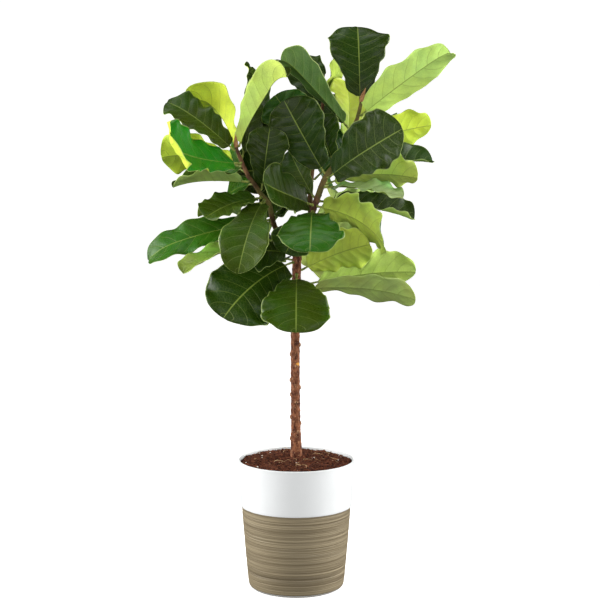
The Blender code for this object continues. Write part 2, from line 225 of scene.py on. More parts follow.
def grain(tree, vector, scale, detail=3.0, rough=0.55):
    made = add(tree, "ShaderNodeTexNoise")
    feed(tree, made.inputs["Vector"], vector)
    made.inputs["Scale"].default_value = scale
    made.inputs["Detail"].default_value = detail
    made.inputs["Roughness"].default_value = rough
    return made.outputs[0]


def tint(tree, share, colour_a, colour_b, mode="MIX"):
    made = add(tree, "ShaderNodeMix", data_type="RGBA", blend_type=mode)
    feed(tree, made.inputs[0], share)
    feed(tree, made.inputs[6], colour_a)
    feed(tree, made.inputs[7], colour_b)
    return made.outputs[2]


def emboss(tree, shader, height, depth, strength=1.0):
    made = add(tree, "ShaderNodeBump")
    made.inputs["Strength"].default_value = strength
    made.inputs["Distance"].default_value = depth
    tree.links.new(height, made.inputs["Height"])
    tree.links.new(made.outputs[0], shader.inputs["Normal"])


def geometry_tree(name, sizes):
    """An empty Geometry Nodes tree with named inputs: (label, socket type, value)."""
    tree = bpy.data.node_groups.new(name, "GeometryNodeTree")
    tree.interface.new_socket(name="Geometry", in_out="INPUT",
                              socket_type="NodeSocketGeometry")
    for label, kind, value in sizes:
        socket = tree.interface.new_socket(name=label, in_out="INPUT", socket_type=kind)
        if value is not None:
            socket.default_value = value
    tree.interface.new_socket(name="Geometry", in_out="OUTPUT",
                              socket_type="NodeSocketGeometry")
    return tree, add(tree, "NodeGroupInput").outputs, add(tree, "NodeGroupOutput").inputs[0]


def run_tree(name, mesh, tree, values):
    """Runs the tree on a mesh and keeps the result as one plain mesh object."""
    carrier = place_object(name + "_carrier", mesh)
    worker = carrier.modifiers.new(name, "NODES")
    worker.node_group = tree
    for item in tree.interface.items_tree:
        if item.item_type == "SOCKET" and item.in_out == "INPUT" and item.name in values:
            worker[item.identifier] = values[item.name]
    graph = bpy.context.evaluated_depsgraph_get()
    made = bpy.data.meshes.new_from_object(carrier.evaluated_get(graph), depsgraph=graph)
    made.name = name
    if made.materials and made.materials[0] is None:
        made.materials.pop(index=0)
    bpy.data.objects.remove(carrier)
    return place_object(name, made)


def keep(piece, slot, *nodes):
    """The piece rides on the plant's one body and stands for its nodes; its slot is not used."""
    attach(piece, "root")
    if nodes:
        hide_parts(*nodes)


def lathe(line, sides):
    """Points and faces of a body turned from a line of (radius, height), axis to axis."""
    points, rings, faces = [], [], []
    for radius, height in line:
        count = 1 if radius == 0 else sides
        rings.append([len(points) + k for k in range(count)])
        points += ring_points(radius, height, count)
    for low, high in zip(rings, rings[1:]):
        for k in range(sides):
            after = (k + 1) % sides
            if len(low) == 1:
                faces.append((low[0], high[after], high[k]))
            elif len(high) == 1:
                faces.append((low[k], low[after], high[0]))
            else:
                faces.append((low[k], low[after], high[after], high[k]))
    return points, faces


def body_radius(height):
    share = (height - FOOT_CORNER) / (BAND_BOTTOM - FOOT_CORNER)
    return BASE_RADIUS + (BODY_TOP_RADIUS - BASE_RADIUS) * max(share, 0) ** 0.85


planter_line = [(0, 0), (BASE_RADIUS - FOOT_CORNER, 0)]
for step in range(1, 9):
    turn = math.radians(90 * step / 8)
    planter_line.append((BASE_RADIUS - FOOT_CORNER + FOOT_CORNER * math.sin(turn),
                         FOOT_CORNER - FOOT_CORNER * math.cos(turn)))
height = FOOT_CORNER + 0.7
while height < BAND_BOTTOM - 0.8:
    planter_line.append((body_radius(height), height))
    height += 0.7
planter_line += [(BODY_TOP_RADIUS, BAND_BOTTOM - 0.2), (BODY_TOP_RADIUS + 0.2, BAND_BOTTOM + 0.2),
                 (BAND_EDGE_RADIUS - 0.3, BAND_BOTTOM + 0.5),
                 (BAND_EDGE_RADIUS, BAND_BOTTOM + 1.3)]
for share in (0.04, 0.1, 0.25, 0.45, 0.65, 0.85, 0.96, 1.0):
    planter_line.append((BAND_EDGE_RADIUS + (RIM_RADIUS - 0.3 - BAND_EDGE_RADIUS) * share ** 0.95,
                         BAND_BOTTOM + 1.3 + (PLANTER_HEIGHT - 3.8 - BAND_BOTTOM) * share))
for step in range(0, 9):
    turn = math.pi * step / 8
    planter_line.append((RIM_RADIUS - 2 + 1.85 * math.cos(turn),
                         PLANTER_HEIGHT - 2.0 + 2.0 * math.sin(turn)))
for share in (0.02, 0.12, 0.3, 0.5, 0.75, 1.0):
    planter_line.append((RIM_RADIUS - WALL - (RIM_RADIUS - BODY_TOP_RADIUS) * share,
                         PLANTER_HEIGHT - 3 - (PLANTER_HEIGHT - 3 - BAND_BOTTOM) * share))
planter_line += [(body_radius(80) - WALL, 80), (BASE_RADIUS - WALL - 1, FOOT_CORNER + 4),
                 (BASE_RADIUS - FOOT_CORNER - 1, WALL), (0, WALL)]
planter_points, planter_faces = lathe(planter_line, PLANTER_SIDES)
planter_mesh = skin("planter_blank", planter_points, planter_faces)
combed = planter_mesh.attributes.new("combed", "FLOAT", "POINT")
for spot, (x, y, z) in enumerate(planter_points):
    outside = math.hypot(x, y) > body_radius(z) - 1.5 and z < BAND_BOTTOM - 0.5
    fade = min(1, max(0, (z - 3) / 10)) * min(1, max(0, (BAND_BOTTOM - 1.5 - z) / 3))
    combed.data[spot].value = fade if outside else 0.0

band_finish, tree, shader = new_finish("planter_band_white", paint(238, 240, 240), 0.28, 0.5)
patches = grain(tree, stretched(tree), 26, 4)
tree.links.new(tint(tree, patches, paint(226, 228, 228), paint(232, 234, 234)),
               shader.inputs["Base Color"])
tree.links.new(reckon(tree, "MULTIPLY_ADD", patches, 0.08, 0.34), shader.inputs["Roughness"])
emboss(tree, shader, grain(tree, stretched(tree), 420, 2), 0.00006, 0.5)

clay_finish, tree, shader = new_finish("planter_combed_clay", paint(168, 153, 124), 0.62, 0.3)
around = stretched(tree, (2.2, 2.2, 230))
streaks = grain(tree, around, 1.0, 5, 0.62)
broad = grain(tree, stretched(tree, (2.5, 2.5, 34)), 1.0, 3, 0.5)
hairlines = grain(tree, stretched(tree, (5, 5, 900)), 1.0, 2, 0.6)
clay = tint(tree, between(tree, streaks, 0.25, 0.75), paint(106, 93, 70), paint(152, 139, 111))
clay = tint(tree, reckon(tree, "MULTIPLY", between(tree, broad, 0.50, 0.34), 0.6), clay,
            paint(104, 92, 70))
clay = tint(tree, reckon(tree, "MULTIPLY", between(tree, hairlines, 0.58, 0.70), 0.35), clay,
            paint(84, 73, 54))
clay = tint(tree, reckon(tree, "MULTIPLY", between(tree, hairlines, 0.40, 0.30), 0.4), clay,
            paint(178, 167, 142))
tree.links.new(clay, shader.inputs["Base Color"])
tree.links.new(reckon(tree, "MULTIPLY_ADD", streaks, 0.25, 0.48), shader.inputs["Roughness"])
emboss(tree, shader, hairlines, 0.00035, 0.7)

tree, given, result = geometry_tree("comb the planter's body", [
    ("Comb Pitch", "NodeSocketFloat", 0.003), ("Comb Depth", "NodeSocketFloat", 0.0005),
    ("Groove Height", "NodeSocketFloat", 0.041), ("Groove Depth", "NodeSocketFloat", 0.001),
    ("Band Bottom", "NodeSocketFloat", 0.18), ("Seed", "NodeSocketFloat", 3.0),
    ("Band", "NodeSocketMaterial", None), ("Body", "NodeSocketMaterial", None)])
place = add(tree, "GeometryNodeInputPosition")
parts = add(tree, "ShaderNodeSeparateXYZ")
tree.links.new(place.outputs[0], parts.inputs[0])
up_down = parts.outputs[2]


def tree_noise(tree, vector, scale, seed=0.0, detail=2.0):
    """Noise in a Geometry Nodes tree, -0.5 to 0.5 or so."""
    made = add(tree, "ShaderNodeTexNoise", noise_dimensions="4D")
    feed(tree, made.inputs["Vector"], vector)
    feed(tree, made.inputs["W"], seed)
    made.inputs["Scale"].default_value = scale
    made.inputs["Detail"].default_value = detail
    return reckon(tree, "SUBTRACT", made.outputs[0], 0.5)


squeezed = add(tree, "ShaderNodeVectorMath", operation="MULTIPLY")
tree.links.new(place.outputs[0], squeezed.inputs[0])
squeezed.inputs[1].default_value = (3.0, 3.0, 260.0)
lanes = tree_noise(tree, squeezed.outputs[0], 1.0, given["Seed"], 3.0)
wander = tree_noise(tree, place.outputs[0], 6.0, given["Seed"])
phase = reckon(tree, "ADD", reckon(tree, "DIVIDE", up_down, given["Comb Pitch"]),
               reckon(tree, "MULTIPLY", wander, 1.6))
teeth = reckon(tree, "SINE", reckon(tree, "MULTIPLY", phase, math.tau))
ridge = reckon(tree, "ADD", reckon(tree, "MULTIPLY", teeth, 0.28),
               reckon(tree, "MULTIPLY", lanes, 2.6))
near_groove = reckon(tree, "ABSOLUTE", reckon(tree, "SUBTRACT", up_down, given["Groove Height"]))
groove = reckon(tree, "SUBTRACT", 1.0, between(tree, near_groove, 0.0004, 0.0019))
# fainter lines round the body: (height in metres, share of the groove's depth)
FAINT_LINES = [(0.1665, 0.5), (0.129, 0.75), (0.1225, 0.55), (0.055, 0.35), (0.027, 0.3)]
cut = reckon(tree, "MULTIPLY", groove, given["Groove Depth"])
for spot, share in FAINT_LINES:
    near = reckon(tree, "ABSOLUTE", reckon(tree, "SUBTRACT", up_down, reckon(
        tree, "MULTIPLY_ADD", wander, 0.004, spot)))
    dent = reckon(tree, "SUBTRACT", 1.0, between(tree, near, 0.0003, 0.0018))
    cut = reckon(tree, "ADD", cut, reckon(tree, "MULTIPLY", reckon(
        tree, "MULTIPLY", dent, share), given["Groove Depth"]))
depth = reckon(tree, "SUBTRACT", reckon(tree, "MULTIPLY", reckon(
    tree, "SUBTRACT", ridge, 0.75), given["Comb Depth"]), cut)
mark = add(tree, "GeometryNodeInputNamedAttribute", data_type="FLOAT")
mark.inputs["Name"].default_value = "combed"
depth = reckon(tree, "MULTIPLY", depth, mark.outputs[0])
flat = add(tree, "ShaderNodeCombineXYZ")
tree.links.new(parts.outputs[0], flat.inputs[0])
tree.links.new(parts.outputs[1], flat.inputs[1])
outward = add(tree, "ShaderNodeVectorMath", operation="NORMALIZE")
tree.links.new(flat.outputs[0], outward.inputs[0])
push = add(tree, "ShaderNodeVectorMath", operation="SCALE")
tree.links.new(outward.outputs[0], push.inputs[0])
tree.links.new(depth, push.inputs["Scale"])
pressed = add(tree, "GeometryNodeSetPosition")
tree.links.new(given["Geometry"], pressed.inputs["Geometry"])
tree.links.new(push.outputs[0], pressed.inputs["Offset"])
real = add(tree, "GeometryNodeRealizeInstances")
tree.links.new(pressed.outputs[0], real.inputs[0])
white = add(tree, "GeometryNodeSetMaterial")
tree.links.new(real.outputs[0], white.inputs["Geometry"])
tree.links.new(given["Band"], white.inputs["Material"])
clay_part = add(tree, "GeometryNodeSetMaterial")
tree.links.new(white.outputs[0], clay_part.inputs["Geometry"])
tree.links.new(given["Body"], clay_part.inputs["Material"])
below = reckon(tree, "LESS_THAN", up_down, given["Band Bottom"])
spread = add(tree, "ShaderNodeVectorMath", operation="LENGTH")
tree.links.new(flat.outputs[0], spread.inputs[0])
wall_out = reckon(tree, "GREATER_THAN", spread.outputs["Value"], reckon(
    tree, "MULTIPLY_ADD", up_down, (BODY_TOP_RADIUS - BASE_RADIUS) / (BAND_BOTTOM - FOOT_CORNER),
    (BASE_RADIUS - 3) * MM))
under = reckon(tree, "LESS_THAN", up_down, 0.0035)
tree.links.new(reckon(tree, "MULTIPLY", below, reckon(tree, "MAXIMUM", wall_out, under)),
               clay_part.inputs["Selection"])
tree.links.new(clay_part.outputs[0], result)
planter = run_tree("planter_shell", planter_mesh, tree, {
    "Comb Pitch": COMB_PITCH * MM, "Comb Depth": COMB_DEPTH * MM,
    "Groove Height": GROOVE_HEIGHT * MM, "Groove Depth": 0.0011,
    "Band Bottom": (BAND_BOTTOM + 0.1) * MM, "Seed": 3.0,
    "Band": band_finish, "Body": clay_finish})
keep(planter, "planter", "planter")

# ---------------------------------------------------------------------------------------
# The grower pot. A thin black blow-moulded pot with a rolled rim, standing inside the
# planter; only its rim shows, and that is dusted with potting mix.

GROWER_RIM_RADIUS = 117
GROWER_BASE_RADIUS = 88
GROWER_HEIGHT = 273
GROWER_WALL = 1.6
FOOT = WALL + 0.4

grower_line = [(0, FOOT), (GROWER_BASE_RADIUS - 3, FOOT), (GROWER_BASE_RADIUS - 1, FOOT + 1),
               (GROWER_BASE_RADIUS, FOOT + 3), (100, 120),
               (GROWER_RIM_RADIUS - 4.3, GROWER_HEIGHT - 19), (GROWER_RIM_RADIUS - 0.6,
                                                               GROWER_HEIGHT - 16.5)]
for share in range(9):
    grower_line.append((GROWER_RIM_RADIUS - (0.25 if share % 2 else 0),
                        GROWER_HEIGHT - 15.5 + share * 1.7))
grower_line += [(GROWER_RIM_RADIUS - 0.6, GROWER_HEIGHT - 0.4),
                (GROWER_RIM_RADIUS - 1.5, GROWER_HEIGHT),
                (GROWER_RIM_RADIUS - 2.6, GROWER_HEIGHT - 0.4),
                (GROWER_RIM_RADIUS - 3.2, GROWER_HEIGHT - 1.4),
                (GROWER_RIM_RADIUS - 4 - GROWER_WALL, GROWER_HEIGHT - 18),
                (GROWER_BASE_RADIUS - GROWER_WALL, FOOT + 4),
                (GROWER_BASE_RADIUS - 3 - GROWER_WALL, FOOT + GROWER_WALL),
                (0, FOOT + GROWER_WALL)]
black_finish, tree, shader = new_finish("grower_pot_black", paint(26, 25, 24), 0.45, 0.4)
dust = between(tree, grain(tree, stretched(tree), 90, 5), 0.50, 0.66)
tree.links.new(tint(tree, dust, paint(24, 23, 22), paint(78, 55, 40)),
               shader.inputs["Base Color"])
tree.links.new(reckon(tree, "MULTIPLY_ADD", dust, 0.4, 0.4), shader.inputs["Roughness"])
emboss(tree, shader, grain(tree, stretched(tree), 300, 3), 0.0002, 0.6)
grower_mesh = skin("grower_pot_wall", *lathe(grower_line, 96))
grower_mesh.materials.append(black_finish)
grower = place_object("grower_pot_wall", grower_mesh)
keep(grower, "grower_pot", "grower_pot")

# ---------------------------------------------------------------------------------------
# The potting mix. Rusty coir and bark fines, mounded round the trunk and lumpy on top,
# with loose chips, white perlite and pale root fibres lying on it.

SOIL_EDGE = 275
SOIL_MOUND = 287
SOIL_RADIUS = 119.6
COLLAR_HOLE = 12.0


def soil_height(radius, angle):
    """Top of the mix: a low mound with lumps and crumbs, level with the pot at its edge."""
    share = max(0.0, 1 - radius / 114)
    x, y = radius * math.cos(angle), radius * math.sin(angle)
    lumps = noise.noise(Vector((x / 26, y / 26, 4.2))) * 4.4
    lumps += noise.noise(Vector((x / 10, y / 10, 1.7))) * 2.6
    lumps += noise.noise(Vector((x / 3.6, y / 3.6, 8.1))) * 1.5
    lumps -= max(0.0, radius - 100) * 0.10 * (1 + math.cos(angle - 0.6))
    return SOIL_EDGE + (SOIL_MOUND - SOIL_EDGE) * share ** 0.6 + lumps * 0.8


def soil_top(inner, outer_radius, rings, sides):
    """Points and faces of the open top surface, from its edge in to the trunk."""
    points = []
    for row in range(rings):
        radius = outer_radius + (inner - outer_radius) * row / (rings - 1)
        for k in range(sides):
            angle = math.tau * k / sides
            points.append((radius * math.cos(angle), radius * math.sin(angle),
                           soil_height(radius, angle)))
    return points, tube_faces(0, rings, sides)


mix_finish, tree, shader = new_finish("potting_mix_coir", paint(98, 58, 42), 0.95, 0.12)
here = stretched(tree)
clods = grain(tree, here, 60, 6, 0.7)
crumbs = grain(tree, here, 420, 5, 0.75)
earth = tint(tree, between(tree, clods, 0.35, 0.65), paint(44, 20, 13), paint(94, 51, 35))
earth = tint(tree, between(tree, crumbs, 0.54, 0.72), earth, paint(122, 77, 52))
earth = tint(tree, between(tree, crumbs, 0.44, 0.30), earth, paint(20, 10, 7))
tree.links.new(earth, shader.inputs["Base Color"])
emboss(tree, shader, crumbs, 0.0016, 1.0)

TOP_RINGS, TOP_SIDES = 90, 240
top_points, top_faces = soil_top(COLLAR_HOLE, SOIL_RADIUS, TOP_RINGS, TOP_SIDES)
ball_points, ball_faces = list(top_points), list(top_faces)
for radius, height in ((113, GROWER_HEIGHT + 0.2), (110.8, 250), (82.4, FOOT + 3.4),
                       (40, FOOT + 2.4)):
    ball_points += ring_points(radius, height, TOP_SIDES)
count = TOP_SIDES
base = TOP_RINGS * count
for low, high in ((base, 0), (base + count, base), (base + 2 * count, base + count),
                  (base + 3 * count, base + 2 * count)):
    ball_faces += ring_faces(low, high, count)
ball_faces.append(tuple(range(base + 4 * count - 1, base + 3 * count - 1, -1)))
inner = (TOP_RINGS - 1) * count
ball_faces.append(tuple(range(inner, inner + count)))
ball_mesh = skin("root_ball", ball_points, ball_faces)
ball_mesh.materials.append(mix_finish)
root_ball = place_object("root_ball", ball_mesh)
keep(root_ball, "potting_mix", "potting_mix")


def two_tone(name, colour, roughness, gloss, spots, spread, dark, light, relief, finer=None,
             scale=(1, 1, 1)):
    """A finish whose grain runs from dark to light; the grain, or a finer one, is its relief.

    spots and finer are (scale, detail), spread is where the change of tone starts and ends,
    and relief is (depth in metres, strength)."""
    made, tree, shader = new_finish(name, paint(*colour), roughness, gloss)
    marks = grain(tree, stretched(tree, scale), *spots)
    tree.links.new(tint(tree, between(tree, marks, *spread), paint(*dark), paint(*light)),
                   shader.inputs["Base Color"])
    emboss(tree, shader, grain(tree, stretched(tree), *finer) if finer else marks, *relief)
    return made


chip_finish = two_tone("bark_chip", (110, 66, 46), 0.9, 0.15, (180, 4), (0.38, 0.64),
                       (38, 18, 12), (116, 68, 46), (0.0005, 0.9), (900, 3))
perlite_finish = two_tone("perlite_white", (232, 222, 206), 0.85, 0.3, (700, 4), (0.34, 0.6),
                          (176, 160, 140), (244, 238, 228), (0.0005, 1.0))
fibre_finish = two_tone("root_fibre", (176, 128, 88), 0.8, 0.2, (120, 3), (0.36, 0.64),
                        (140, 96, 62), (226, 194, 146), (0.0002, 0.7), (1500, 2))

SCATTER_SIZES = [
    ("Per Square Metre", "NodeSocketFloat", 5000.0), ("Smallest", "NodeSocketFloat", 0.001),
    ("Largest", "NodeSocketFloat", 0.003), ("Flatness", "NodeSocketFloat", 0.5),
    ("Length", "NodeSocketFloat", 1.0), ("Roughening", "NodeSocketFloat", 0.0005),
    ("Seed", "NodeSocketInt", 1), ("Finish", "NodeSocketMaterial", None)]


def chance(tree, seed, low, high, kind="FLOAT"):
    made = add(tree, "FunctionNodeRandomValue", data_type=kind)
    pair = (0, 1) if kind == "FLOAT_VECTOR" else (2, 3)
    feed(tree, made.inputs[pair[0]], low)
    feed(tree, made.inputs[pair[1]], high)
    feed(tree, made.inputs["Seed"], seed)
    return made.outputs[0 if kind == "FLOAT_VECTOR" else 1]


def finish_copies(tree, given, laid, scale, amount, result, fitted=False):
    """Makes laid copies real, roughens them and gives them their finish.

    Fitted copies are roughened by the tree's Seed as well, and shaded smooth."""
    real = add(tree, "GeometryNodeRealizeInstances")
    tree.links.new(laid, real.inputs[0])
    place = add(tree, "GeometryNodeInputPosition")
    worn = add(tree, "ShaderNodeTexNoise", noise_dimensions="4D" if fitted else "3D")
    tree.links.new(place.outputs[0], worn.inputs["Vector"])
    worn.inputs["Scale"].default_value = scale
    middle = add(tree, "ShaderNodeVectorMath", operation="SUBTRACT")
    tree.links.new(worn.outputs["Color"], middle.inputs[0])
    middle.inputs[1].default_value = (0.5, 0.5, 0.5)
    push = add(tree, "ShaderNodeVectorMath", operation="SCALE")
    tree.links.new(middle.outputs[0], push.inputs[0])
    tree.links.new(amount, push.inputs["Scale"])
    rough = add(tree, "GeometryNodeSetPosition")
    tree.links.new(real.outputs[0], rough.inputs["Geometry"])
    tree.links.new(push.outputs[0], rough.inputs["Offset"])
    body = rough.outputs[0]
    if fitted:
        tree.links.new(given["Seed"], worn.inputs["W"])
        smooth = add(tree, "GeometryNodeSetShadeSmooth")
        tree.links.new(body, smooth.inputs[0])
        body = smooth.outputs[0]
    dress = add(tree, "GeometryNodeSetMaterial")
    tree.links.new(body, dress.inputs["Geometry"])
    tree.links.new(given["Finish"], dress.inputs["Material"])
    tree.links.new(dress.outputs[0], result)


def scatter_tree(name, fibre=False):
    """Strews small bodies over a surface, turned at random and lying roughly flat."""
    tree, given, result = geometry_tree(name, SCATTER_SIZES)
    strew = add(tree, "GeometryNodeDistributePointsOnFaces")
    tree.links.new(given["Geometry"], strew.inputs["Mesh"])
    tree.links.new(given["Per Square Metre"], strew.inputs["Density"])
    tree.links.new(given["Seed"], strew.inputs["Seed"])
    if fibre:
        bend = add(tree, "GeometryNodeCurveArc")
        for label, value in (("Resolution", 9), ("Radius", 1.0), ("Sweep Angle", 1.5)):
            bend.inputs[label].default_value = value
        hair = add(tree, "GeometryNodeCurvePrimitiveCircle")
        hair.inputs["Resolution"].default_value = 4
        tree.links.new(given["Flatness"], hair.inputs["Radius"])
        tube = add(tree, "GeometryNodeCurveToMesh")
        tree.links.new(bend.outputs[0], tube.inputs["Curve"])
        tree.links.new(hair.outputs[0], tube.inputs["Profile Curve"])
        tube.inputs["Fill Caps"].default_value = True
        shape = tube.outputs[0]
    else:
        grainlet = add(tree, "GeometryNodeMeshIcoSphere")
        grainlet.inputs["Radius"].default_value = 1.0
        grainlet.inputs["Subdivisions"].default_value = 1
        squash = add(tree, "GeometryNodeTransform")
        size = add(tree, "ShaderNodeCombineXYZ")
        tree.links.new(given["Length"], size.inputs[0])
        size.inputs[1].default_value = 1.0
        tree.links.new(given["Flatness"], size.inputs[2])
        tree.links.new(grainlet.outputs[0], squash.inputs["Geometry"])
        tree.links.new(size.outputs[0], squash.inputs["Scale"])
        shape = squash.outputs[0]
    lay = add(tree, "GeometryNodeInstanceOnPoints")
    tree.links.new(strew.outputs["Points"], lay.inputs["Points"])
    tree.links.new(shape, lay.inputs["Instance"])
    turn = chance(tree, given["Seed"], (-0.5, -0.5, 0.0), (0.5, 0.5, 6.28), "FLOAT_VECTOR")
    tree.links.new(turn, lay.inputs["Rotation"])
    tree.links.new(chance(tree, given["Seed"], given["Smallest"], given["Largest"]),
                   lay.inputs["Scale"])
    finish_copies(tree, given, lay.outputs[0], 30.0 if fibre else 260.0,
                  given["Roughening"], result)
    return tree


crumb_tree = scatter_tree("strew crumbs")
fibre_tree = scatter_tree("strew fibres", True)
SCATTERED = [
    ("coir_chips", crumb_tree, 115, 30000, 0.0010, 0.0034, 0.35, 2.0, 0.0016, 5, chip_finish),
    ("coir_crumbs", crumb_tree, 117, 26000, 0.0006, 0.0016, 0.7, 1.2, 0.0008, 9, mix_finish),
    ("perlite", crumb_tree, 112, 800, 0.0009, 0.0024, 0.8, 1.0, 0.0010, 12, perlite_finish),
    ("root_fibres", fibre_tree, 97, 1500, 0.0080, 0.0210, 0.022, 1.0, 0.0060, 21,
     fibre_finish)]
for name, tree, out_to, many, small, large, flatness, length, wear, seed, look in SCATTERED:
    open_points, open_faces = soil_top(16, out_to, 34, 96)
    carrier = skin(name + "_bed", open_points, open_faces)
    piece = run_tree(name, carrier, tree, {
        "Per Square Metre": float(many), "Smallest": small, "Largest": large,
        "Flatness": flatness, "Length": length, "Roughening": wear, "Seed": seed,
        "Finish": look})
    keep(piece, "potting_mix")

# ---------------------------------------------------------------------------------------
# The trunk. A bare woody stem, swollen where it goes into the mix, with rusty brown
# bark, ring scars at the old joints and a raised scar where each dropped leaf sat.

TRUNK = [(0, 0, 218, 11), (0, 0, 270, 12.4), (0, 0, 300, 12), (-1, 0, 345, 10.2),
         (-2, 0, 450, 9.4), (-2, 0, 560, 9.2), (0, 0, 660, 9.2), (2, 0, 725, 9.4),
         (4, 0, 745, 8.8)]


def path_point(path, height):
    """Middle and radius of a stem at a height, on a smooth curve through its points."""
    for k in range(len(path) - 1):
        if height <= path[k + 1][2] or k == len(path) - 2:
            break
    before, low = path[max(k - 1, 0)], path[k]
    high, after = path[k + 1], path[min(k + 2, len(path) - 1)]
    t = (height - low[2]) / (high[2] - low[2])
    out = []
    for axis in (0, 1, 3):
        a, b, c, d = before[axis], low[axis], high[axis], after[axis]
        out.append(b + 0.5 * t * (c - a + t * (2 * a - 5 * b + 4 * c - d
                                               + t * (3 * (b - c) + d - a))))
    return Vector((out[0], out[1], height)), out[2]


def path_frame(path, height):
    """Middle, radius, direction and two sides of a stem at a height."""
    middle, radius = path_point(path, height)
    along = (path_point(path, height + 3)[0] - path_point(path, height - 3)[0]).normalized()
    side = (Vector((1, 0, 0)) - along * along.x).normalized()
    return middle, radius, along, side, along.cross(side)


def stem(name, path, pitch, sides, lumps, scars=()):
    """A stem with bark relief; scars are (height, swell) rings where a joint was."""
    low, high = path[0][2], path[-1][2]
    count = int((high - low) / pitch)
    points = []
    for row in range(count + 1):
        height = low + (high - low) * row / count
        middle, radius, along, side, other = path_frame(path, height)
        swell = sum(rise * math.exp(-((height - spot) / 3.2) ** 2) for spot, rise in scars)
        for k in range(sides):
            angle = math.tau * k / sides
            x, y = math.cos(angle), math.sin(angle)
            bark = noise.noise(Vector((x * 2.2, y * 2.2, height / 26))) * 0.5
            bark += noise.noise(Vector((x * 5, y * 5, height / 9))) * 0.4
            bark += noise.noise(Vector((x * 9, y * 9, height / 3))) * 0.28
            reach = radius + swell + lumps * bark
            points.append(middle + side * (reach * x) + other * (reach * y))
    faces = tube_faces(0, count + 1, sides)
    faces.append(tuple(range(sides - 1, -1, -1)))
    faces.append(tuple(range(count * sides, count * sides + sides)))
    return skin(name, points, faces)


bark_finish, tree, shader = new_finish("trunk_bark_rust", paint(122, 74, 50), 0.85, 0.2)
fissures = grain(tree, stretched(tree, (1, 1, 0.22)), 420, 5, 0.65)
blotch = grain(tree, stretched(tree, (1, 1, 0.6)), 120, 5, 0.65)
rings = grain(tree, stretched(tree, (0.15, 0.15, 1)), 300, 3, 0.5)
bark = tint(tree, between(tree, blotch, 0.34, 0.66), paint(70, 34, 22), paint(146, 92, 62))
bark = tint(tree, between(tree, fissures, 0.46, 0.30), bark, paint(44, 20, 13))
bark = tint(tree, reckon(tree, "MULTIPLY", between(tree, fissures, 0.56, 0.70), 0.85), bark,
            paint(190, 148, 112))
bark = tint(tree, reckon(tree, "MULTIPLY", between(tree, rings, 0.60, 0.70), 0.45), bark,
            paint(60, 28, 18))
tree.links.new(bark, shader.inputs["Base Color"])
tree.links.new(reckon(tree, "MULTIPLY_ADD", fissures, 0.3, 0.65), shader.inputs["Roughness"])
emboss(tree, shader, reckon(tree, "ADD", fissures, reckon(tree, "MULTIPLY", rings, 0.4)),
       0.0012, 0.9)

OLD_JOINTS = [(312, .5), (334, .7), (352, .6), (373, .5), (386, .8), (401, .6), (417, .9),
              (432, .5), (449, .8), (466, .6), (480, .8), (497, .5), (513, .9), (531, .6),
              (547, .7), (563, .8), (583, .6), (604, .8), (622, .5), (641, .7), (668, .6),
              (690, .8), (712, .5)]
trunk_mesh = stem("trunk_bark", TRUNK, 1.3, 40, 1.0, OLD_JOINTS)
trunk_mesh.materials.append(bark_finish)
trunk = place_object("trunk_bark", trunk_mesh)
keep(trunk, "bark", "trunk")

scar_finish = two_tone("leaf_scar", (140, 88, 56), 0.85, 0.2, (500, 4), (0.36, 0.62),
                       (58, 32, 24), (176, 132, 98), (0.0008, 0.9))
cut_finish = two_tone("fresh_cut", (206, 128, 52), 0.8, 0.2, (600, 3), (0.36, 0.62),
                      (176, 100, 34), (238, 180, 90), (0.0005, 0.8))

# Old leaf scars on the trunk: (height, bearing from the right going back, size)
SCARS = [(528, 5, 5.2), (508, 182, 5.0), (484, -75, 3.6), (468, 60, 4.2), (452, 178, 5.4),
         (436, 4, 5.2), (421, 186, 4.8), (405, -80, 3.8), (389, 95, 4.2), (372, 183, 5.0),
         (358, 3, 4.6), (341, -60, 3.6), (325, 176, 5.2), (310, 40, 4.2), (545, 120, 4.6),
         (560, 200, 4.8), (578, -15, 4.8), (597, 165, 4.6), (618, 30, 4.4), (640, 210, 4.8)]


def marker_points(name, marks):
    """A point for each mark, with the way it faces and its size, for a tree to fill."""
    mesh = skin(name, [spot for spot, _, _ in marks], [])
    facing = mesh.attributes.new("facing", "FLOAT_VECTOR", "POINT")
    facing.data.foreach_set("vector", [part for _, way, _ in marks for part in way])
    size = mesh.attributes.new("size", "FLOAT", "POINT")
    size.data.foreach_set("value", [large * MM for _, _, large in marks])
    return mesh


def stem_marks(path, marks, inset=0.6):
    out = []
    for height, bearing, large in marks:
        middle, radius, along, side, other = path_frame(path, height)
        way = side * math.cos(math.radians(bearing)) + other * math.sin(math.radians(bearing))
        out.append((middle + way * (radius - inset), way, large))
    return out


def fitted_tree(name, build):
    """Sets one built shape on every marked point, its Z axis along the point's facing."""
    tree, given, result = geometry_tree(name, [
        ("Width", "NodeSocketFloat", 1.0), ("Rise", "NodeSocketFloat", 0.4),
        ("Wear", "NodeSocketFloat", 0.0005), ("Seed", "NodeSocketInt", 1),
        ("Finish", "NodeSocketMaterial", None)])
    shape = build(tree, given)
    facing = add(tree, "GeometryNodeInputNamedAttribute", data_type="FLOAT_VECTOR")
    facing.inputs["Name"].default_value = "facing"
    size = add(tree, "GeometryNodeInputNamedAttribute", data_type="FLOAT")
    size.inputs["Name"].default_value = "size"
    turn = add(tree, "FunctionNodeAlignRotationToVector", axis="Z")
    tree.links.new(facing.outputs[0], turn.inputs["Vector"])
    lay = add(tree, "GeometryNodeInstanceOnPoints")
    tree.links.new(given["Geometry"], lay.inputs["Points"])
    tree.links.new(shape, lay.inputs["Instance"])
    tree.links.new(turn.outputs[0], lay.inputs["Rotation"])
    tree.links.new(size.outputs[0], lay.inputs["Scale"])
    finish_copies(tree, given, lay.outputs[0], 320.0, given["Wear"], result, fitted=True)
    return tree


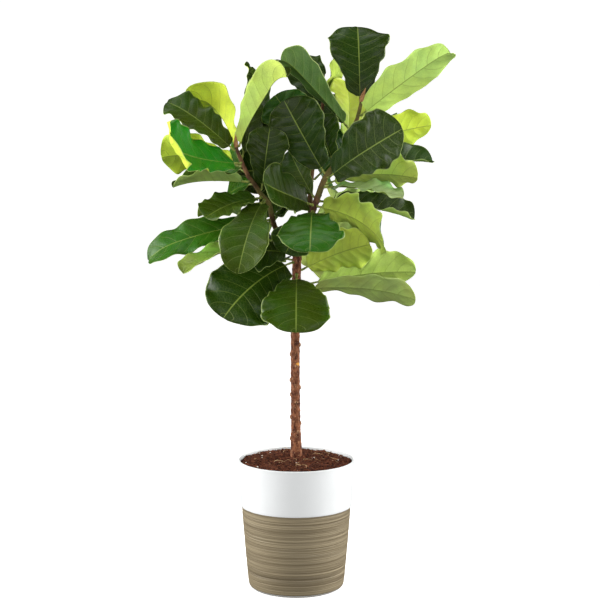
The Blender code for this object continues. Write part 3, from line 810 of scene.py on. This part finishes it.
def boss_shape(detail):
    """A low boss: a ball squashed to the tree's Width and Rise."""
    def build(tree, given):
        ball = add(tree, "GeometryNodeMeshIcoSphere")
        ball.inputs["Radius"].default_value = 1.0
        ball.inputs["Subdivisions"].default_value = detail
        size = add(tree, "ShaderNodeCombineXYZ")
        size.inputs[0].default_value = 1.0
        tree.links.new(given["Width"], size.inputs[1])
        tree.links.new(given["Rise"], size.inputs[2])
        squash = add(tree, "GeometryNodeTransform")
        tree.links.new(ball.outputs[0], squash.inputs["Geometry"])
        tree.links.new(size.outputs[0], squash.inputs["Scale"])
        return squash.outputs[0]
    return build


scar_tree = fitted_tree("set the leaf scars", boss_shape(4))
speck_tree = fitted_tree("set the bark specks", boss_shape(1))
scars = run_tree("trunk_scars", marker_points("scar_marks", stem_marks(TRUNK, SCARS)), scar_tree,
                 {"Width": 1.0, "Rise": 0.66, "Wear": 0.0020, "Seed": 2, "Finish": scar_finish})
keep(scars, "bark")
fresh = run_tree("pruning_cut", marker_points("cut_marks", stem_marks(
    TRUNK, [(487, -52, 4.8)])), scar_tree,
    {"Width": 0.8, "Rise": 0.45, "Wear": 0.0006, "Seed": 5, "Finish": cut_finish})
keep(fresh, "bark")
rng = random.Random(11)
specks = [(rng.uniform(290, 735), rng.uniform(0, 360), rng.uniform(0.5, 1.4)) for _ in range(560)]
lenticels = run_tree("trunk_lenticels", marker_points("speck_marks", stem_marks(
    TRUNK, specks, 0.1)), speck_tree,
    {"Width": 1.5, "Rise": 0.55, "Wear": 0.0003, "Seed": 8, "Finish": scar_finish})
keep(lenticels, "bark")

# ---------------------------------------------------------------------------------------
# The branches. Three younger stems that fork from the trunk's head and lean outward,
# greener and smoother than the trunk, ringed at each joint and ending in a sheathed bud.

RIGHT = [(4, 0, 745.4, 8.2), (20, -5, 780, 7.6), (38, -8, 825, 7), (47, -8, 848, 6.6),
         (64, -6, 890, 6), (95, -2, 930, 5.4), (110, 0, 958, 5), (118, 2, 985, 4.6),
         (128, 4, 1008, 4.2), (137, 6, 1048, 3.4)]
LEFT = [(-16, -2, 738, 5.8), (-45, -10, 782, 5.6), (-57, -16, 832, 5.2), (-74, -21, 852, 5),
        (-87, -24, 872, 4.7), (-100, -26, 888, 4.4), (-115, -28, 923, 4), (-126, -30, 955, 3.4)]
MIDDLE = [(30, 7, 812, 5.6), (30, 26, 850, 5.4), (34, 42, 900, 5), (42, 52, 960, 4.4),
          (52, 56, 1010, 3.8), (58, 58, 1050, 3.2)]
STEMS = {"trunk": TRUNK, "right": RIGHT, "left": LEFT, "middle": MIDDLE}
# each stem is drawn on down into the one it grows from
ROOTED = {"right": [(3, 0, 724, 8.0)] + RIGHT, "left": [(1, 0, 716, 5.6)] + LEFT,
          "middle": [(29, -3, 796, 5.2)] + MIDDLE}

twig_finish, tree, shader = new_finish("branch_bark", paint(104, 82, 52), 0.75, 0.25)
fissures = grain(tree, stretched(tree, (1, 1, 0.25)), 380, 4, 0.6)
blotch = grain(tree, stretched(tree, (1, 1, 0.6)), 60, 4, 0.6)
green_wood = between(tree, grain(tree, stretched(tree), 18, 2), 0.42, 0.6)
bark = tint(tree, between(tree, blotch, 0.36, 0.66), paint(70, 44, 28), paint(122, 88, 58))
bark = tint(tree, reckon(tree, "MULTIPLY", green_wood, 0.55), bark, paint(92, 98, 42))
bark = tint(tree, between(tree, fissures, 0.42, 0.28), bark, paint(40, 24, 15))
tree.links.new(bark, shader.inputs["Base Color"])
emboss(tree, shader, fissures, 0.0008, 0.8)
for name, path in ROOTED.items():
    mesh = stem("branch_" + name + "_bark", path, 1.8, 28, 0.6)
    mesh.materials.append(twig_finish)
    branch = place_object("branch_" + name + "_bark", mesh)
    keep(branch, "branch", "branch_" + name)


def ring_shape(tree, given):
    """A thin ring of round section; Width is its radius as a share of the mark's size."""
    hoop = add(tree, "GeometryNodeCurvePrimitiveCircle")
    hoop.inputs["Resolution"].default_value = 28
    tree.links.new(given["Width"], hoop.inputs["Radius"])
    bead = add(tree, "GeometryNodeCurvePrimitiveCircle")
    bead.inputs["Resolution"].default_value = 8
    tree.links.new(given["Rise"], bead.inputs["Radius"])
    tube = add(tree, "GeometryNodeCurveToMesh")
    tree.links.new(hoop.outputs[0], tube.inputs["Curve"])
    tree.links.new(bead.outputs[0], tube.inputs["Profile Curve"])
    return tube.outputs[0]


ring_tree = fitted_tree("ring the joints", ring_shape)
joints = []
for name, pitch in (("right", 15), ("left", 12), ("middle", 16)):
    height = STEMS[name][0][2] + 14
    while height < STEMS[name][-1][2] - 6:
        middle, radius, along, side, other = path_frame(STEMS[name], height)
        joints.append((middle, along, radius))
        height += pitch
rings = run_tree("branch_joint_rings", marker_points("joint_marks", joints), ring_tree,
                 {"Width": 1.0, "Rise": 0.13, "Wear": 0.0006, "Seed": 4, "Finish": twig_finish})
keep(rings, "branch")

sheath_finish = two_tone("bud_sheath_brown", (142, 96, 56), 0.7, 0.3, (900, 4), (0.36, 0.64),
                         (94, 56, 30), (178, 132, 84), (0.0005, 0.8), scale=(1, 1, 0.12))
BUD_RINGS, BUD_SIDES = 12, 14
bud_points, bud_faces = [], []
for path, length in ((RIGHT, 30), (LEFT, 26), (MIDDLE, 28)):
    middle, radius, along, side, other = path_frame(path, path[-1][2] - 3.1)
    middle = path_point(path, path[-1][2])[0]
    first = len(bud_points)
    for row in range(BUD_RINGS):
        share = row / (BUD_RINGS - 1)
        wide = radius * 1.25 * (1 - share) ** 0.75 * (1 + 0.5 * math.sin(math.pi * share)) + 0.25
        bend = side * (5 * share ** 2)
        for k in range(BUD_SIDES):
            angle = math.tau * k / BUD_SIDES
            ridge = wide * (1 + 0.08 * math.cos(3 * angle))
            bud_points.append(middle + along * (share * length - 5) + bend
                              + side * ridge * math.cos(angle) + other * ridge * math.sin(angle))
    bud_faces += tube_faces(first, BUD_RINGS, BUD_SIDES)
    bud_faces.append(tuple(range(first + BUD_SIDES - 1, first - 1, -1)))
    bud_faces.append(tuple(range(len(bud_points) - BUD_SIDES, len(bud_points))))
bud_mesh = skin("bud_sheaths", bud_points, bud_faces)
bud_mesh.materials.append(sheath_finish)
buds = place_object("bud_sheaths", bud_mesh)
keep(buds, "branch")

# ---------------------------------------------------------------------------------------
# The leaves. Leathery blades shaped like a fiddle, dark and waxy above and paler and
# matt below, on short stalks let into the branch, with a raised midrib and side veins.

STALK_RADIUS = 2.4
HALF_THICK = 0.4
VEIN_PAIRS = 8
VEIN_SWEEP = 0.17
COLUMNS = 12                       # on each side of the midrib
LINE_STEPS = 160                   # along the stalk and midrib
LONG_RUFFLE = 0.10                 # of the half width, at the margin
SHORT_RUFFLE = 0.075
UPPER, LOWER, STALK = 0, 1, 2      # material slots of a leaf
# Half width of the blade as a share of its widest, from leaf stalk to tip.
OUTLINE = [(0.0, 0.13), (0.04, 0.34), (0.10, 0.46), (0.20, 0.54), (0.32, 0.64), (0.45, 0.80),
           (0.58, 0.94), (0.68, 1.0), (0.80, 0.96), (0.89, 0.80), (0.95, 0.58),
           (0.985, 0.32), (1.0, 0.10)]
BLADE_STEPS = ([0, .008, .018, .03, .045, .062, .08] + [.10 + .83 * k / 45 for k in range(46)]
               + [.944, .957, .968, .977, .985, .991, .996, 1.0])
# the shade card of the leaves: their own greens, and some painted light. The lime and gold shades
# paint the glow of light shining through backlit leaves, and the silver shade paints a pale sheen
# on the upper face.
GREENS_AND_PAINTED_LIGHT = {
    "deep": paint(30, 46, 1), "olive": paint(44, 61, 2), "mid": paint(38, 76, 4),
    "bright": paint(24, 108, 10), "grey": paint(62, 88, 32), "fresh": paint(74, 112, 34),
    "pale": paint(176, 200, 96), "backlit_lime": paint(192, 208, 62), "sage": paint(152, 170, 92),
    "dull": paint(106, 126, 56), "backlit_gold": paint(170, 186, 74), "sheen_silver": paint(142, 158, 118)}
# Each leaf: its number, the stem and height it grows from, its tip, roll, half width, arches
# (near, far, sway), section (fold, cup left, cup right, shape), hook of the tip, stalk length,
# and the shades of its upper and lower face, where the lime, gold and silver shades are painted
# light.
LEAVES = [
    ("01", "right", 1044, (130, 85, 1200), 0, 66, (.05, .15, 0),
     (10, -10, -10, 1.1), 0, 12, "deep", "dull"),
    ("02", "right", 1016, (328, -50, 1158), -72, 43, (.10, .10, 0),
     (18, 40, 0, .45), -50, 16, "deep", "pale"),
    ("03", "right", 984, (-35, -30, 1145), 60, 46, (.05, .05, 0),
     (60, 0, 0, 1), -60, 20, "deep", "grey"),
    ("04", "left", 950, (-32, -30, 1115), -45, 46, (.10, -.05, 0),
     (75, 0, 0, 1), -90, 10, "olive", "pale"),
    ("05", "left", 930, (-240, 80, 1062), 60, 57, (.13, .26, 0),
     (30, 0, 0, .9), -150, 20, "deep", "backlit_lime"),
    ("06", "left", 945, (-270, 2, 1042), -30, 54, (.05, .10, 0),
     (10, 0, 0, .8), 0, 15, "olive", "sage"),
    ("07", "left", 918, (-265, -165, 978), -47, 70, (-.10, -.20, 0),
     (10, 20, 20, 1), 30, 15, "bright", "backlit_lime"),
    ("08", "left", 912, (-285, 30, 925), 50, 58, (.10, .15, 0),
     (15, 0, 0, 1), 0, 20, "olive", "backlit_lime"),
    ("09", "left", 882, (-255, -60, 868), 5, 48, (.05, .10, 0),
     (35, 0, 0, .8), 0, 15, "deep", "sage"),
    ("10", "left", 874, (-160, 110, 820), -50, 52, (.10, .10, 0),
     (10, 0, 0, 1), 0, 12, "mid", "sage"),
    ("12", "left", 848, (-185, -110, 810), -20, 48, (.10, .10, 0),
     (15, 0, 0, 1), 0, 14, "olive", "sage"),
    ("13", "left", 838, (-205, -35, 805), 10, 42, (.05, .05, 0),
     (30, 30, 30, 1), 0, 20, "deep", "dull"),
    ("14", "left", 798, (-323, -20, 718), -40, 46, (.05, .10, 0),
     (10, 0, 0, .7), -30, 30, "mid", "pale"),
    ("15", "left", 758, (-228, -150, 699), 0, 48, (.10, .10, 0),
     (20, 0, 0, 1), 0, 25, "dull", "sage"),
    ("16", "left", 842, (-116, -208, 706), -6, 50, (.15, .15, 0),
     (20, 0, 0, 1), 0, 25, "olive", "sage"),
    ("17", "right", 826, (-65, -120, 882), -60, 60, (0, -.05, 0),
     (15, 0, 0, .85), 0, 15, "deep", "dull"),
    ("18", "right", 814, (28, -200, 750), 0, 66, (.17, .15, 0),
     (5, -15, -15, 1), 0, 40, "mid", "sage"),
    ("19", "right", 892, (-25, 10, 1045), -90, 62, (.05, .05, 0),
     (5, -10, -10, 1), 0, 12, "deep", "dull"),
    ("20", "right", 842, (-14, 42, 940), -80, 38, (.05, .05, 0),
     (10, 0, 0, 1), 0, 10, "olive", "dull"),
    ("21", "right", 888, (218, -80, 990), 70, 70, (.08, .03, 0),
     (15, 0, 0, .9), 0, 16, "deep", "sage"),
    # this leaf's silver upper shade is a painted sheen
    ("22", "right", 875, (255, 0, 883), -40, 60, (.15, .10, 0),
     (20, 0, 0, 1), 0, 20, "sheen_silver", "pale"),
    ("23", "right", 935, (290, 100, 990), -60, 47, (.10, .10, 0),
     (10, 0, 0, 1), 0, 40, "deep", "backlit_lime"),
    ("24", "right", 905, (292, 80, 915), 30, 42, (.05, .05, 0),
     (30, 30, 30, 1), 0, 40, "deep", "dull"),
    # this leaf's silver upper shade is a painted sheen
    ("25", "right", 868, (222, -50, 846), 10, 45, (.08, .05, 0),
     (15, 0, 0, 1), 0, 20, "sheen_silver", "sage"),
    ("26", "right", 828, (180, -110, 752), -50, 72, (.15, .15, 0),
     (10, 0, 0, .75), 0, 12, "mid", "backlit_gold"),
    ("27", "right", 838, (250, 20, 795), 30, 50, (.05, .05, 0),
     (30, 40, 40, 1), 0, 30, "deep", "pale"),
    ("28", "trunk", 690, (155, -20, 745), -60, 55, (.10, .10, 0),
     (10, 0, 0, .8), 0, 15, "mid", "backlit_gold"),
    ("29", "trunk", 655, (258, 85, 674), -60, 52, (.06, .08, 0),
     (20, 0, 0, .9), 0, 44, "sage", "pale"),
    ("30", "trunk", 648, (250, -40, 630), -45, 48, (.10, .10, 0),
     (10, 0, 0, 1), 0, 32, "dull", "sage"),
    ("31", "trunk", 680, (0, -190, 584), 0, 72, (.15, .20, 0),
     (5, -10, -10, 1), 0, 44, "olive", "dull"),
    ("32", "trunk", 705, (-150, -100, 600), -40, 85, (.10, .10, .06),
     (5, -10, -10, .8), 0, 20, "deep", "dull"),
    ("33", "trunk", 725, (-112, -30, 732), -45, 54, (.05, .05, 0),
     (10, 0, 0, .8), 0, 15, "deep", "dull"),
    ("34", "middle", 903, (-136, 158, 884), -80, 55, (.10, .10, 0),
     (10, 0, 0, 1), 0, 20, "deep", "dull"),
    ("35", "left", 858, (-55, -15, 990), 70, 46, (.05, .05, 0),
     (20, 0, 0, 1), 0, 12, "deep", "dull"),
    ("36", "middle", 945, (-45, 70, 1055), -75, 54, (.05, .10, 0),
     (10, 0, 0, .9), 0, 20, "mid", "fresh"),
    ("37", "left", 925, (-100, 150, 1115), 60, 44, (.05, .10, 0),
     (20, 0, 0, 1), 0, 20, "olive", "backlit_lime"),
    ("38", "right", 955, (108, 115, 1080), 30, 48, (.10, .10, 0),
     (15, 0, 0, 1), 0, 15, "backlit_gold", "backlit_gold"),
    ("39", "right", 915, (45, 35, 1010), -70, 48, (.05, .05, 0),
     (10, 0, 0, .9), 0, 12, "deep", "dull"),
    ("40", "middle", 1015, (5, 160, 1135), -20, 46, (.05, .10, 0),
     (10, 0, 0, 1), 0, 20, "deep", "dull"),
    ("41", "middle", 1035, (110, 125, 1130), -60, 48, (.05, .10, 0),
     (10, 0, 0, 1), 0, 20, "olive", "backlit_gold"),
    ("42", "right", 940, (188, 160, 1005), 0, 52, (.10, .10, 0),
     (10, 0, 0, 1), 0, 36, "mid", "sage"),
    ("43", "middle", 853, (-76, 72, 812), -50, 44, (.10, .10, 0),
     (10, 0, 0, 1), 0, 20, "deep", "dull"),
    ("44", "middle", 835, (-60, 95, 755), -30, 74, (.20, .15, 0),
     (10, 0, 0, .8), 0, 15, "deep", "dull"),
    ("45", "trunk", 725, (66, 170, 640), 20, 68, (.20, .15, 0),
     (10, 0, 0, 1), 0, 25, "olive", "sage"),
    ("46", "left", 896, (-150, 212, 912), -60, 58, (.15, .10, 0),
     (10, 0, 0, 1), 0, 30, "mid", "sage"),
    ("47", "trunk", 722, (-178, 160, 712), 0, 58, (.15, .10, 0),
     (10, 0, 0, 1), 0, 25, "olive", "sage"),
    ("48", "middle", 905, (60, 250, 862), 75, 62, (.15, .10, 0),
     (10, 0, 0, 1), 0, 25, "mid", "sage"),
    ("49", "middle", 985, (120, 225, 1040), 10, 56, (.10, .10, 0),
     (10, 0, 0, 1), 0, 25, "deep", "sage"),
    ("50", "right", 805, (170, 160, 790), -60, 62, (.15, .10, 0),
     (10, 0, 0, 1), 0, 25, "olive", "sage"),
    ("52", "right", 800, (-22, -62, 730), -30, 45, (.15, .15, 0),
     (10, 0, 0, 1), 0, 15, "deep", "dull"),
    ("53", "middle", 880, (115, 95, 960), 75, 52, (.10, .10, 0),
     (10, 0, 0, 1), 0, 26, "mid", "sage"),
    ("11", "middle", 957, (-125, 92, 985), -60, 44, (.05, .05, 0),
     (10, 0, 0, 1), 0, 15, "deep", "dull"),
    ("51", "trunk", 708, (-110, 150, 620), 0, 62, (.20, .15, 0),
     (10, 0, 0, 1), 0, 25, "olive", "sage"),
]


def outline(share):
    """Smooth half width of the blade, through the points of OUTLINE."""
    for k in range(len(OUTLINE) - 1):
        if share <= OUTLINE[k + 1][0] or k == len(OUTLINE) - 2:
            break

    def slope(i):
        i = min(max(i, 1), len(OUTLINE) - 2)
        (s0, w0), (s1, w1) = OUTLINE[i - 1], OUTLINE[i + 1]
        return (w1 - w0) / (s1 - s0)

    (s0, w0), (s1, w1) = OUTLINE[k], OUTLINE[k + 1]
    span = s1 - s0
    t = min(1.0, (share - s0) / span)
    return ((2 * t ** 3 - 3 * t ** 2 + 1) * w0 + (t ** 3 - 2 * t ** 2 + t) * span * slope(k)
            + (3 * t ** 2 - 2 * t ** 3) * w1 + (t ** 3 - t ** 2) * span * slope(k + 1))


def leaf_line(base, tip, roll, arch1, arch2, sway, hook):
    """Stalk and midrib as (length so far, point, direction), the blade's side, its length."""
    chord = tip - base
    size = chord.length
    along = chord / size
    up = Vector((0, 0, 1)) - along * along.z
    if up.length < 0.05:
        up = Vector((0, -1, 0)) - along * -along.y
    up = Matrix.Rotation(math.radians(roll), 3, along) @ up.normalized()
    right = along.cross(up)
    first = base + size * (0.33 * along + arch1 * up + sway * right)
    second = base + size * (0.70 * along + arch2 * up + sway * right)
    spots, spot, length = [], base.copy(), 0.0
    for k in range(LINE_STEPS + 1):
        t = k / LINE_STEPS
        speed = (3 * (1 - t) ** 2 * (first - base) + 6 * (1 - t) * t * (second - first)
                 + 3 * t * t * (tip - second))
        bend = max(0.0, (t - 0.72) / 0.28)
        way = Matrix.Rotation(math.radians(hook) * bend ** 1.3, 3, right) @ speed.normalized()
        spots.append((length, spot.copy(), way))
        step = speed.length / LINE_STEPS
        spot = spot + way * step
        length += step
    return spots, right, length


def line_frame(spots, right, length, share):
    """Middle, side and up of the blade at a share of its length."""
    want = share * length
    k = min(max(int(share * LINE_STEPS) - 2, 0), LINE_STEPS - 2)
    while k > 0 and spots[k][0] > want:
        k -= 1
    while k < LINE_STEPS - 1 and spots[k + 1][0] < want:
        k += 1
    t = min(1.5, (want - spots[k][0]) / max(spots[k + 1][0] - spots[k][0], 1e-6))
    middle = spots[k][1].lerp(spots[k + 1][1], t)
    way = spots[k][2].lerp(spots[k + 1][2], t).normalized()
    side = (right - way * right.dot(way)).normalized()
    return middle, side, side.cross(way)


def drawn_in(points):
    """The leaf a touch smaller about its foot, where its tip would pass the plant's box."""
    foot, share = points[0], 1.0
    for point in points:
        for far, start, low, high in zip(point - foot, foot, cad_low, cad_high):
            room = (high if far > 0 else low) / MM - start
            if abs(far) * share > abs(room):
                share = abs(room) / abs(far)
    return [foot + (point - foot) * share * 0.999 for point in points] if share < 1 else points


def leaf_mesh(name, seed, row, looks):
    _, where, height, tip, roll, half_width, arches, section, hook, stalk, upper, lower = row
    arch1, arch2, sway = arches
    fold, cup_left, cup_right, shape = section
    middle, radius, ahead, _, _ = path_frame(STEMS[where], height)
    toward = Vector(tip) - middle
    toward = (toward - ahead * ahead.dot(toward)).normalized()
    base = middle + toward * (radius + STALK_RADIUS + 0.4)
    spots, right, length = leaf_line(base, Vector(tip), roll, arch1, arch2, sway, hook)
    start = min(0.4, stalk / ((Vector(tip) - base).length * 1.06))
    rng = random.Random(seed)
    waves = rng.choice((1.6, 2.1, 2.4))
    phase = rng.uniform(0, 6.28)
    blade_long = length * (1 - start)
    columns = [math.copysign(abs(k / COLUMNS) ** 1.4, k) for k in range(-COLUMNS, COLUMNS + 1)]
    wide = len(columns)
    around = 2 * wide
    points, rows = [], []
    _, side, up = line_frame(spots, right, length, 0)
    stalk_rings = [(base - toward * (2.8 + radius * 0.5), 3.9, side, up),
                   (base - toward * 3.0, 3.7, side, up), (base - toward * 1.2, 3.0, side, up)]
    for k in range(9):
        spot, side, up = line_frame(spots, right, length, start * 0.93 * k / 8)
        stalk_rings.append((spot, STALK_RADIUS * (1.06 - 0.03 * k), side, up))
    for spot, thick, side, up in stalk_rings:
        for k in range(around):
            angle = math.pi - (k + 0.5) * math.tau / around
            points.append(spot + side * thick * math.cos(angle) + up * thick * math.sin(angle))
            rows.append((0.5, 0.0))
    for s in BLADE_STEPS:
        spot, side, up = line_frame(spots, right, length, start + (1 - start) * s)
        width = half_width * outline(s ** shape)
        worn = [noise.noise(Vector((s * 6.5, seed * 3.1, hand * 9.7))) * 0.17
                + noise.noise(Vector((s * 12, seed * 5.3, hand * 4.1))) * 0.03
                for hand in (0, 1)]
        upper_row, lower_row = [], []
        for u in columns:
            reach = abs(u)
            cup = math.radians(cup_left if u < 0 else cup_right) * (0.35 + 0.65 * s)
            lean = math.radians(fold) * (1 - 0.3 * s) * min(1.0, 0.3 + 7 * s)
            tilt = lean + cup * reach * 0.5
            edge = width * (1 + worn[u > 0] * min(1.0, 9 * s) * min(1.0, 14 * (1 - s)))
            out = reach * edge * math.cos(tilt)
            lift = reach * edge * math.sin(tilt)
            lift += LONG_RUFFLE * width * reach ** 2 * math.sin(2 * math.pi * waves * s + phase
                                                         + (1.3 if u < 0 else 0.0))
            lift += SHORT_RUFFLE * width * reach ** 3 * math.sin(2 * math.pi * waves * 2.3 * s
                                                          + phase * 1.7 + (2.1 if u < 0 else 0))
            lift += 5.0 * reach * noise.noise(Vector((s * 3.2, u * 1.6, seed * 2.7)))
            lane = ((s - VEIN_SWEEP * reach ** 1.4) * VEIN_PAIRS + (0.35 if u < 0 else 0)) % 1
            near = abs(lane - 0.5) * 2
            body = (min(1.0, reach * 5) * (1 - reach ** 5) * min(1.0, 12 * s)
                    * min(1.0, 10 * (1 - s)))
            lift += 1.5 * (near ** 0.7 - 0.5) * body
            rib = 1.6 * (1 - 0.8 * s) * math.exp(-(reach * width / 2.2) ** 2)
            vein = 0.35 * math.exp(-(near * 5) ** 2) * body
            spot_u = spot + side * math.copysign(out, u) + up * lift
            thick = HALF_THICK * (1.0 if reach < 0.9 else 0.8)
            upper_row.append(spot_u + up * (thick - 0.22 * rib))
            lower_row.append(spot_u - up * (thick + rib + vein))
        points += upper_row + lower_row[::-1]
        shares = [(0.5 + 0.5 * u, s) for u in columns]
        rows += shares + shares[::-1]
    points = drawn_in(points)
    count = len(stalk_rings) + len(BLADE_STEPS)
    faces = tube_faces(0, count, around)
    slots = [STALK if ring < len(stalk_rings) else UPPER if k < wide - 1 else LOWER
             for ring in range(count - 1) for k in range(around)]
    last = (count - 1) * around
    faces.append(tuple(range(around - 1, -1, -1)))
    slots.append(STALK)
    for k in range(wide - 1):
        faces.append((last + k, last + k + 1, last + around - 2 - k, last + around - 1 - k))
        slots.append(LOWER)
    mesh = skin(name, points, faces)
    work = bmesh.new()
    work.from_mesh(mesh)
    if work.calc_volume(signed=True) < 0:
        bmesh.ops.reverse_faces(work, faces=work.faces)
    work.to_mesh(mesh)
    work.free()
    for look in looks:
        mesh.materials.append(look)
    mesh.polygons.foreach_set("material_index", slots)
    chart = mesh.uv_layers.new(name="blade")
    for loop in mesh.loops:
        chart.data[loop.index].uv = rows[loop.vertex_index]
    ripe = rng.uniform(0.88, 1.14)
    warm = rng.uniform(-0.06, 0.08)
    # each leaf's tones off the shade card, painted backlight glow and painted sheen among them,
    # are laid on as point colours
    for label, (red, green, blue, _) in (("over_tone", GREENS_AND_PAINTED_LIGHT[upper]),
                                         ("under_tone", GREENS_AND_PAINTED_LIGHT[lower])):
        tone = mesh.attributes.new(label, "FLOAT_COLOR", "POINT")
        shades = []
        for _, s in rows:
            fade = ripe * (0.94 + 0.16 * s)
            shades += [red * fade * (1 + warm), green * fade, blue * fade * (1 - warm), 1.0]
        tone.data.foreach_set("color", shades)
    return mesh


def blade_finish(name, tone, roughness, gloss, ripening, vein_colour, margin_colour, strengths,
                 depth):
    """Leaf skin: the green its tone carries (on some leaves a painted backlight glow, on two a
    painted sheen), its midrib, side veins, fine net and pale margin.
    """
    made, tree, shader = new_finish(name, (0.1, 0.2, 0.05, 1), roughness, gloss)
    chart = add(tree, "ShaderNodeUVMap", uv_map="blade")
    parts = add(tree, "ShaderNodeSeparateXYZ")
    tree.links.new(chart.outputs[0], parts.inputs[0])
    across, s = parts.outputs[0], parts.outputs[1]
    reach = reckon(tree, "ABSOLUTE", reckon(tree, "MULTIPLY_ADD", across, 2.0, -1.0))
    left = reckon(tree, "MULTIPLY", reckon(tree, "LESS_THAN", across, 0.5), 0.35)
    ahead = reckon(tree, "SUBTRACT", s, reckon(tree, "MULTIPLY", reckon(
        tree, "POWER", reach, 1.4), VEIN_SWEEP))
    lane = reckon(tree, "FRACT", reckon(tree, "ADD", reckon(
        tree, "MULTIPLY_ADD", ahead, float(VEIN_PAIRS), 8.0), left))
    near = reckon(tree, "ABSOLUTE", reckon(tree, "SUBTRACT", lane, 0.5))
    thin = reckon(tree, "MULTIPLY_ADD", reach, -0.016, 0.036)
    side_vein = reckon(tree, "SUBTRACT", 1.0, between(tree, near, 0.004, thin))
    side_vein = reckon(tree, "MULTIPLY", side_vein, between(tree, reach, 0.97, 0.75))
    midrib = reckon(tree, "SUBTRACT", 1.0, between(tree, reach, 0.010, 0.030))
    stretch = add(tree, "ShaderNodeVectorMath", operation="MULTIPLY")
    tree.links.new(chart.outputs[0], stretch.inputs[0])
    stretch.inputs[1].default_value = (20.0, 44.0, 1.0)
    net = add(tree, "ShaderNodeTexVoronoi", feature="DISTANCE_TO_EDGE")
    tree.links.new(stretch.outputs[0], net.inputs["Vector"])
    net.inputs["Scale"].default_value = 1.0
    fine = reckon(tree, "SUBTRACT", 1.0, between(tree, net.outputs[0], 0.01, 0.10))
    colour = add(tree, "ShaderNodeAttribute", attribute_name=tone).outputs["Color"]
    mottle = grain(tree, stretched(tree), 34, 4, 0.6)
    flush = grain(tree, stretched(tree), 9, 2, 0.5)
    colour = tint(tree, between(tree, flush, 0.42, 0.62), colour,
                  tint(tree, 1.0, colour, ripening, "MULTIPLY"))
    colour = tint(tree, between(tree, mottle, 0.30, 0.72), colour, (0.62, 0.66, 0.55, 1),
                  "OVERLAY")
    colour = tint(tree, reckon(tree, "MULTIPLY", fine, strengths[2]), colour, vein_colour)
    colour = tint(tree, reckon(tree, "MULTIPLY", side_vein, strengths[1]), colour, vein_colour)
    colour = tint(tree, reckon(tree, "MULTIPLY", midrib, strengths[0]), colour, vein_colour)
    colour = tint(tree, reckon(tree, "MULTIPLY", between(tree, reach, 0.965, 0.99), 0.75), colour,
                  margin_colour)
    tree.links.new(colour, shader.inputs["Base Color"])
    tree.links.new(reckon(tree, "MULTIPLY_ADD", mottle, 0.22, roughness - 0.11),
                   shader.inputs["Roughness"])
    relief = reckon(tree, "ADD", reckon(tree, "MULTIPLY", fine, -0.5), reckon(
        tree, "ADD", reckon(tree, "MULTIPLY", side_vein, -1.0),
        reckon(tree, "MULTIPLY", grain(tree, stretched(tree), 300, 2), 0.6)))
    emboss(tree, shader, relief, depth, 0.7)
    return made


upper_finish = blade_finish("blade_upper", "over_tone", 0.31, 0.22, (0.78, 1.18, 0.9, 1),
                            paint(132, 150, 66), paint(150, 168, 92), (0.75, 0.42, 0.10), 0.0005)
lower_finish = blade_finish("blade_lower", "under_tone", 0.62, 0.18, (0.90, 0.98, 1.1, 1),
                            paint(118, 138, 58), paint(190, 208, 128), (0.85, 0.60, 0.14),
                            -0.0006)
stalk_finish = two_tone("leaf_stalk", (118, 132, 52), 0.5, 0.3, (150, 4), (0.36, 0.66),
                        (84, 96, 38), (150, 160, 76), (0.0004, 0.6))

for seed, row in enumerate(LEAVES):
    name = "fig_leaf_" + row[0]
    leaf = place_object(name, leaf_mesh(name, seed, row,
                                        (upper_finish, lower_finish, stalk_finish)))
    keep(leaf, "leaf", "leaf_" + row[0])

# ---------------------------------------------------------------------------------------
# The size of the dressed plant, measured at the end.

low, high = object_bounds()
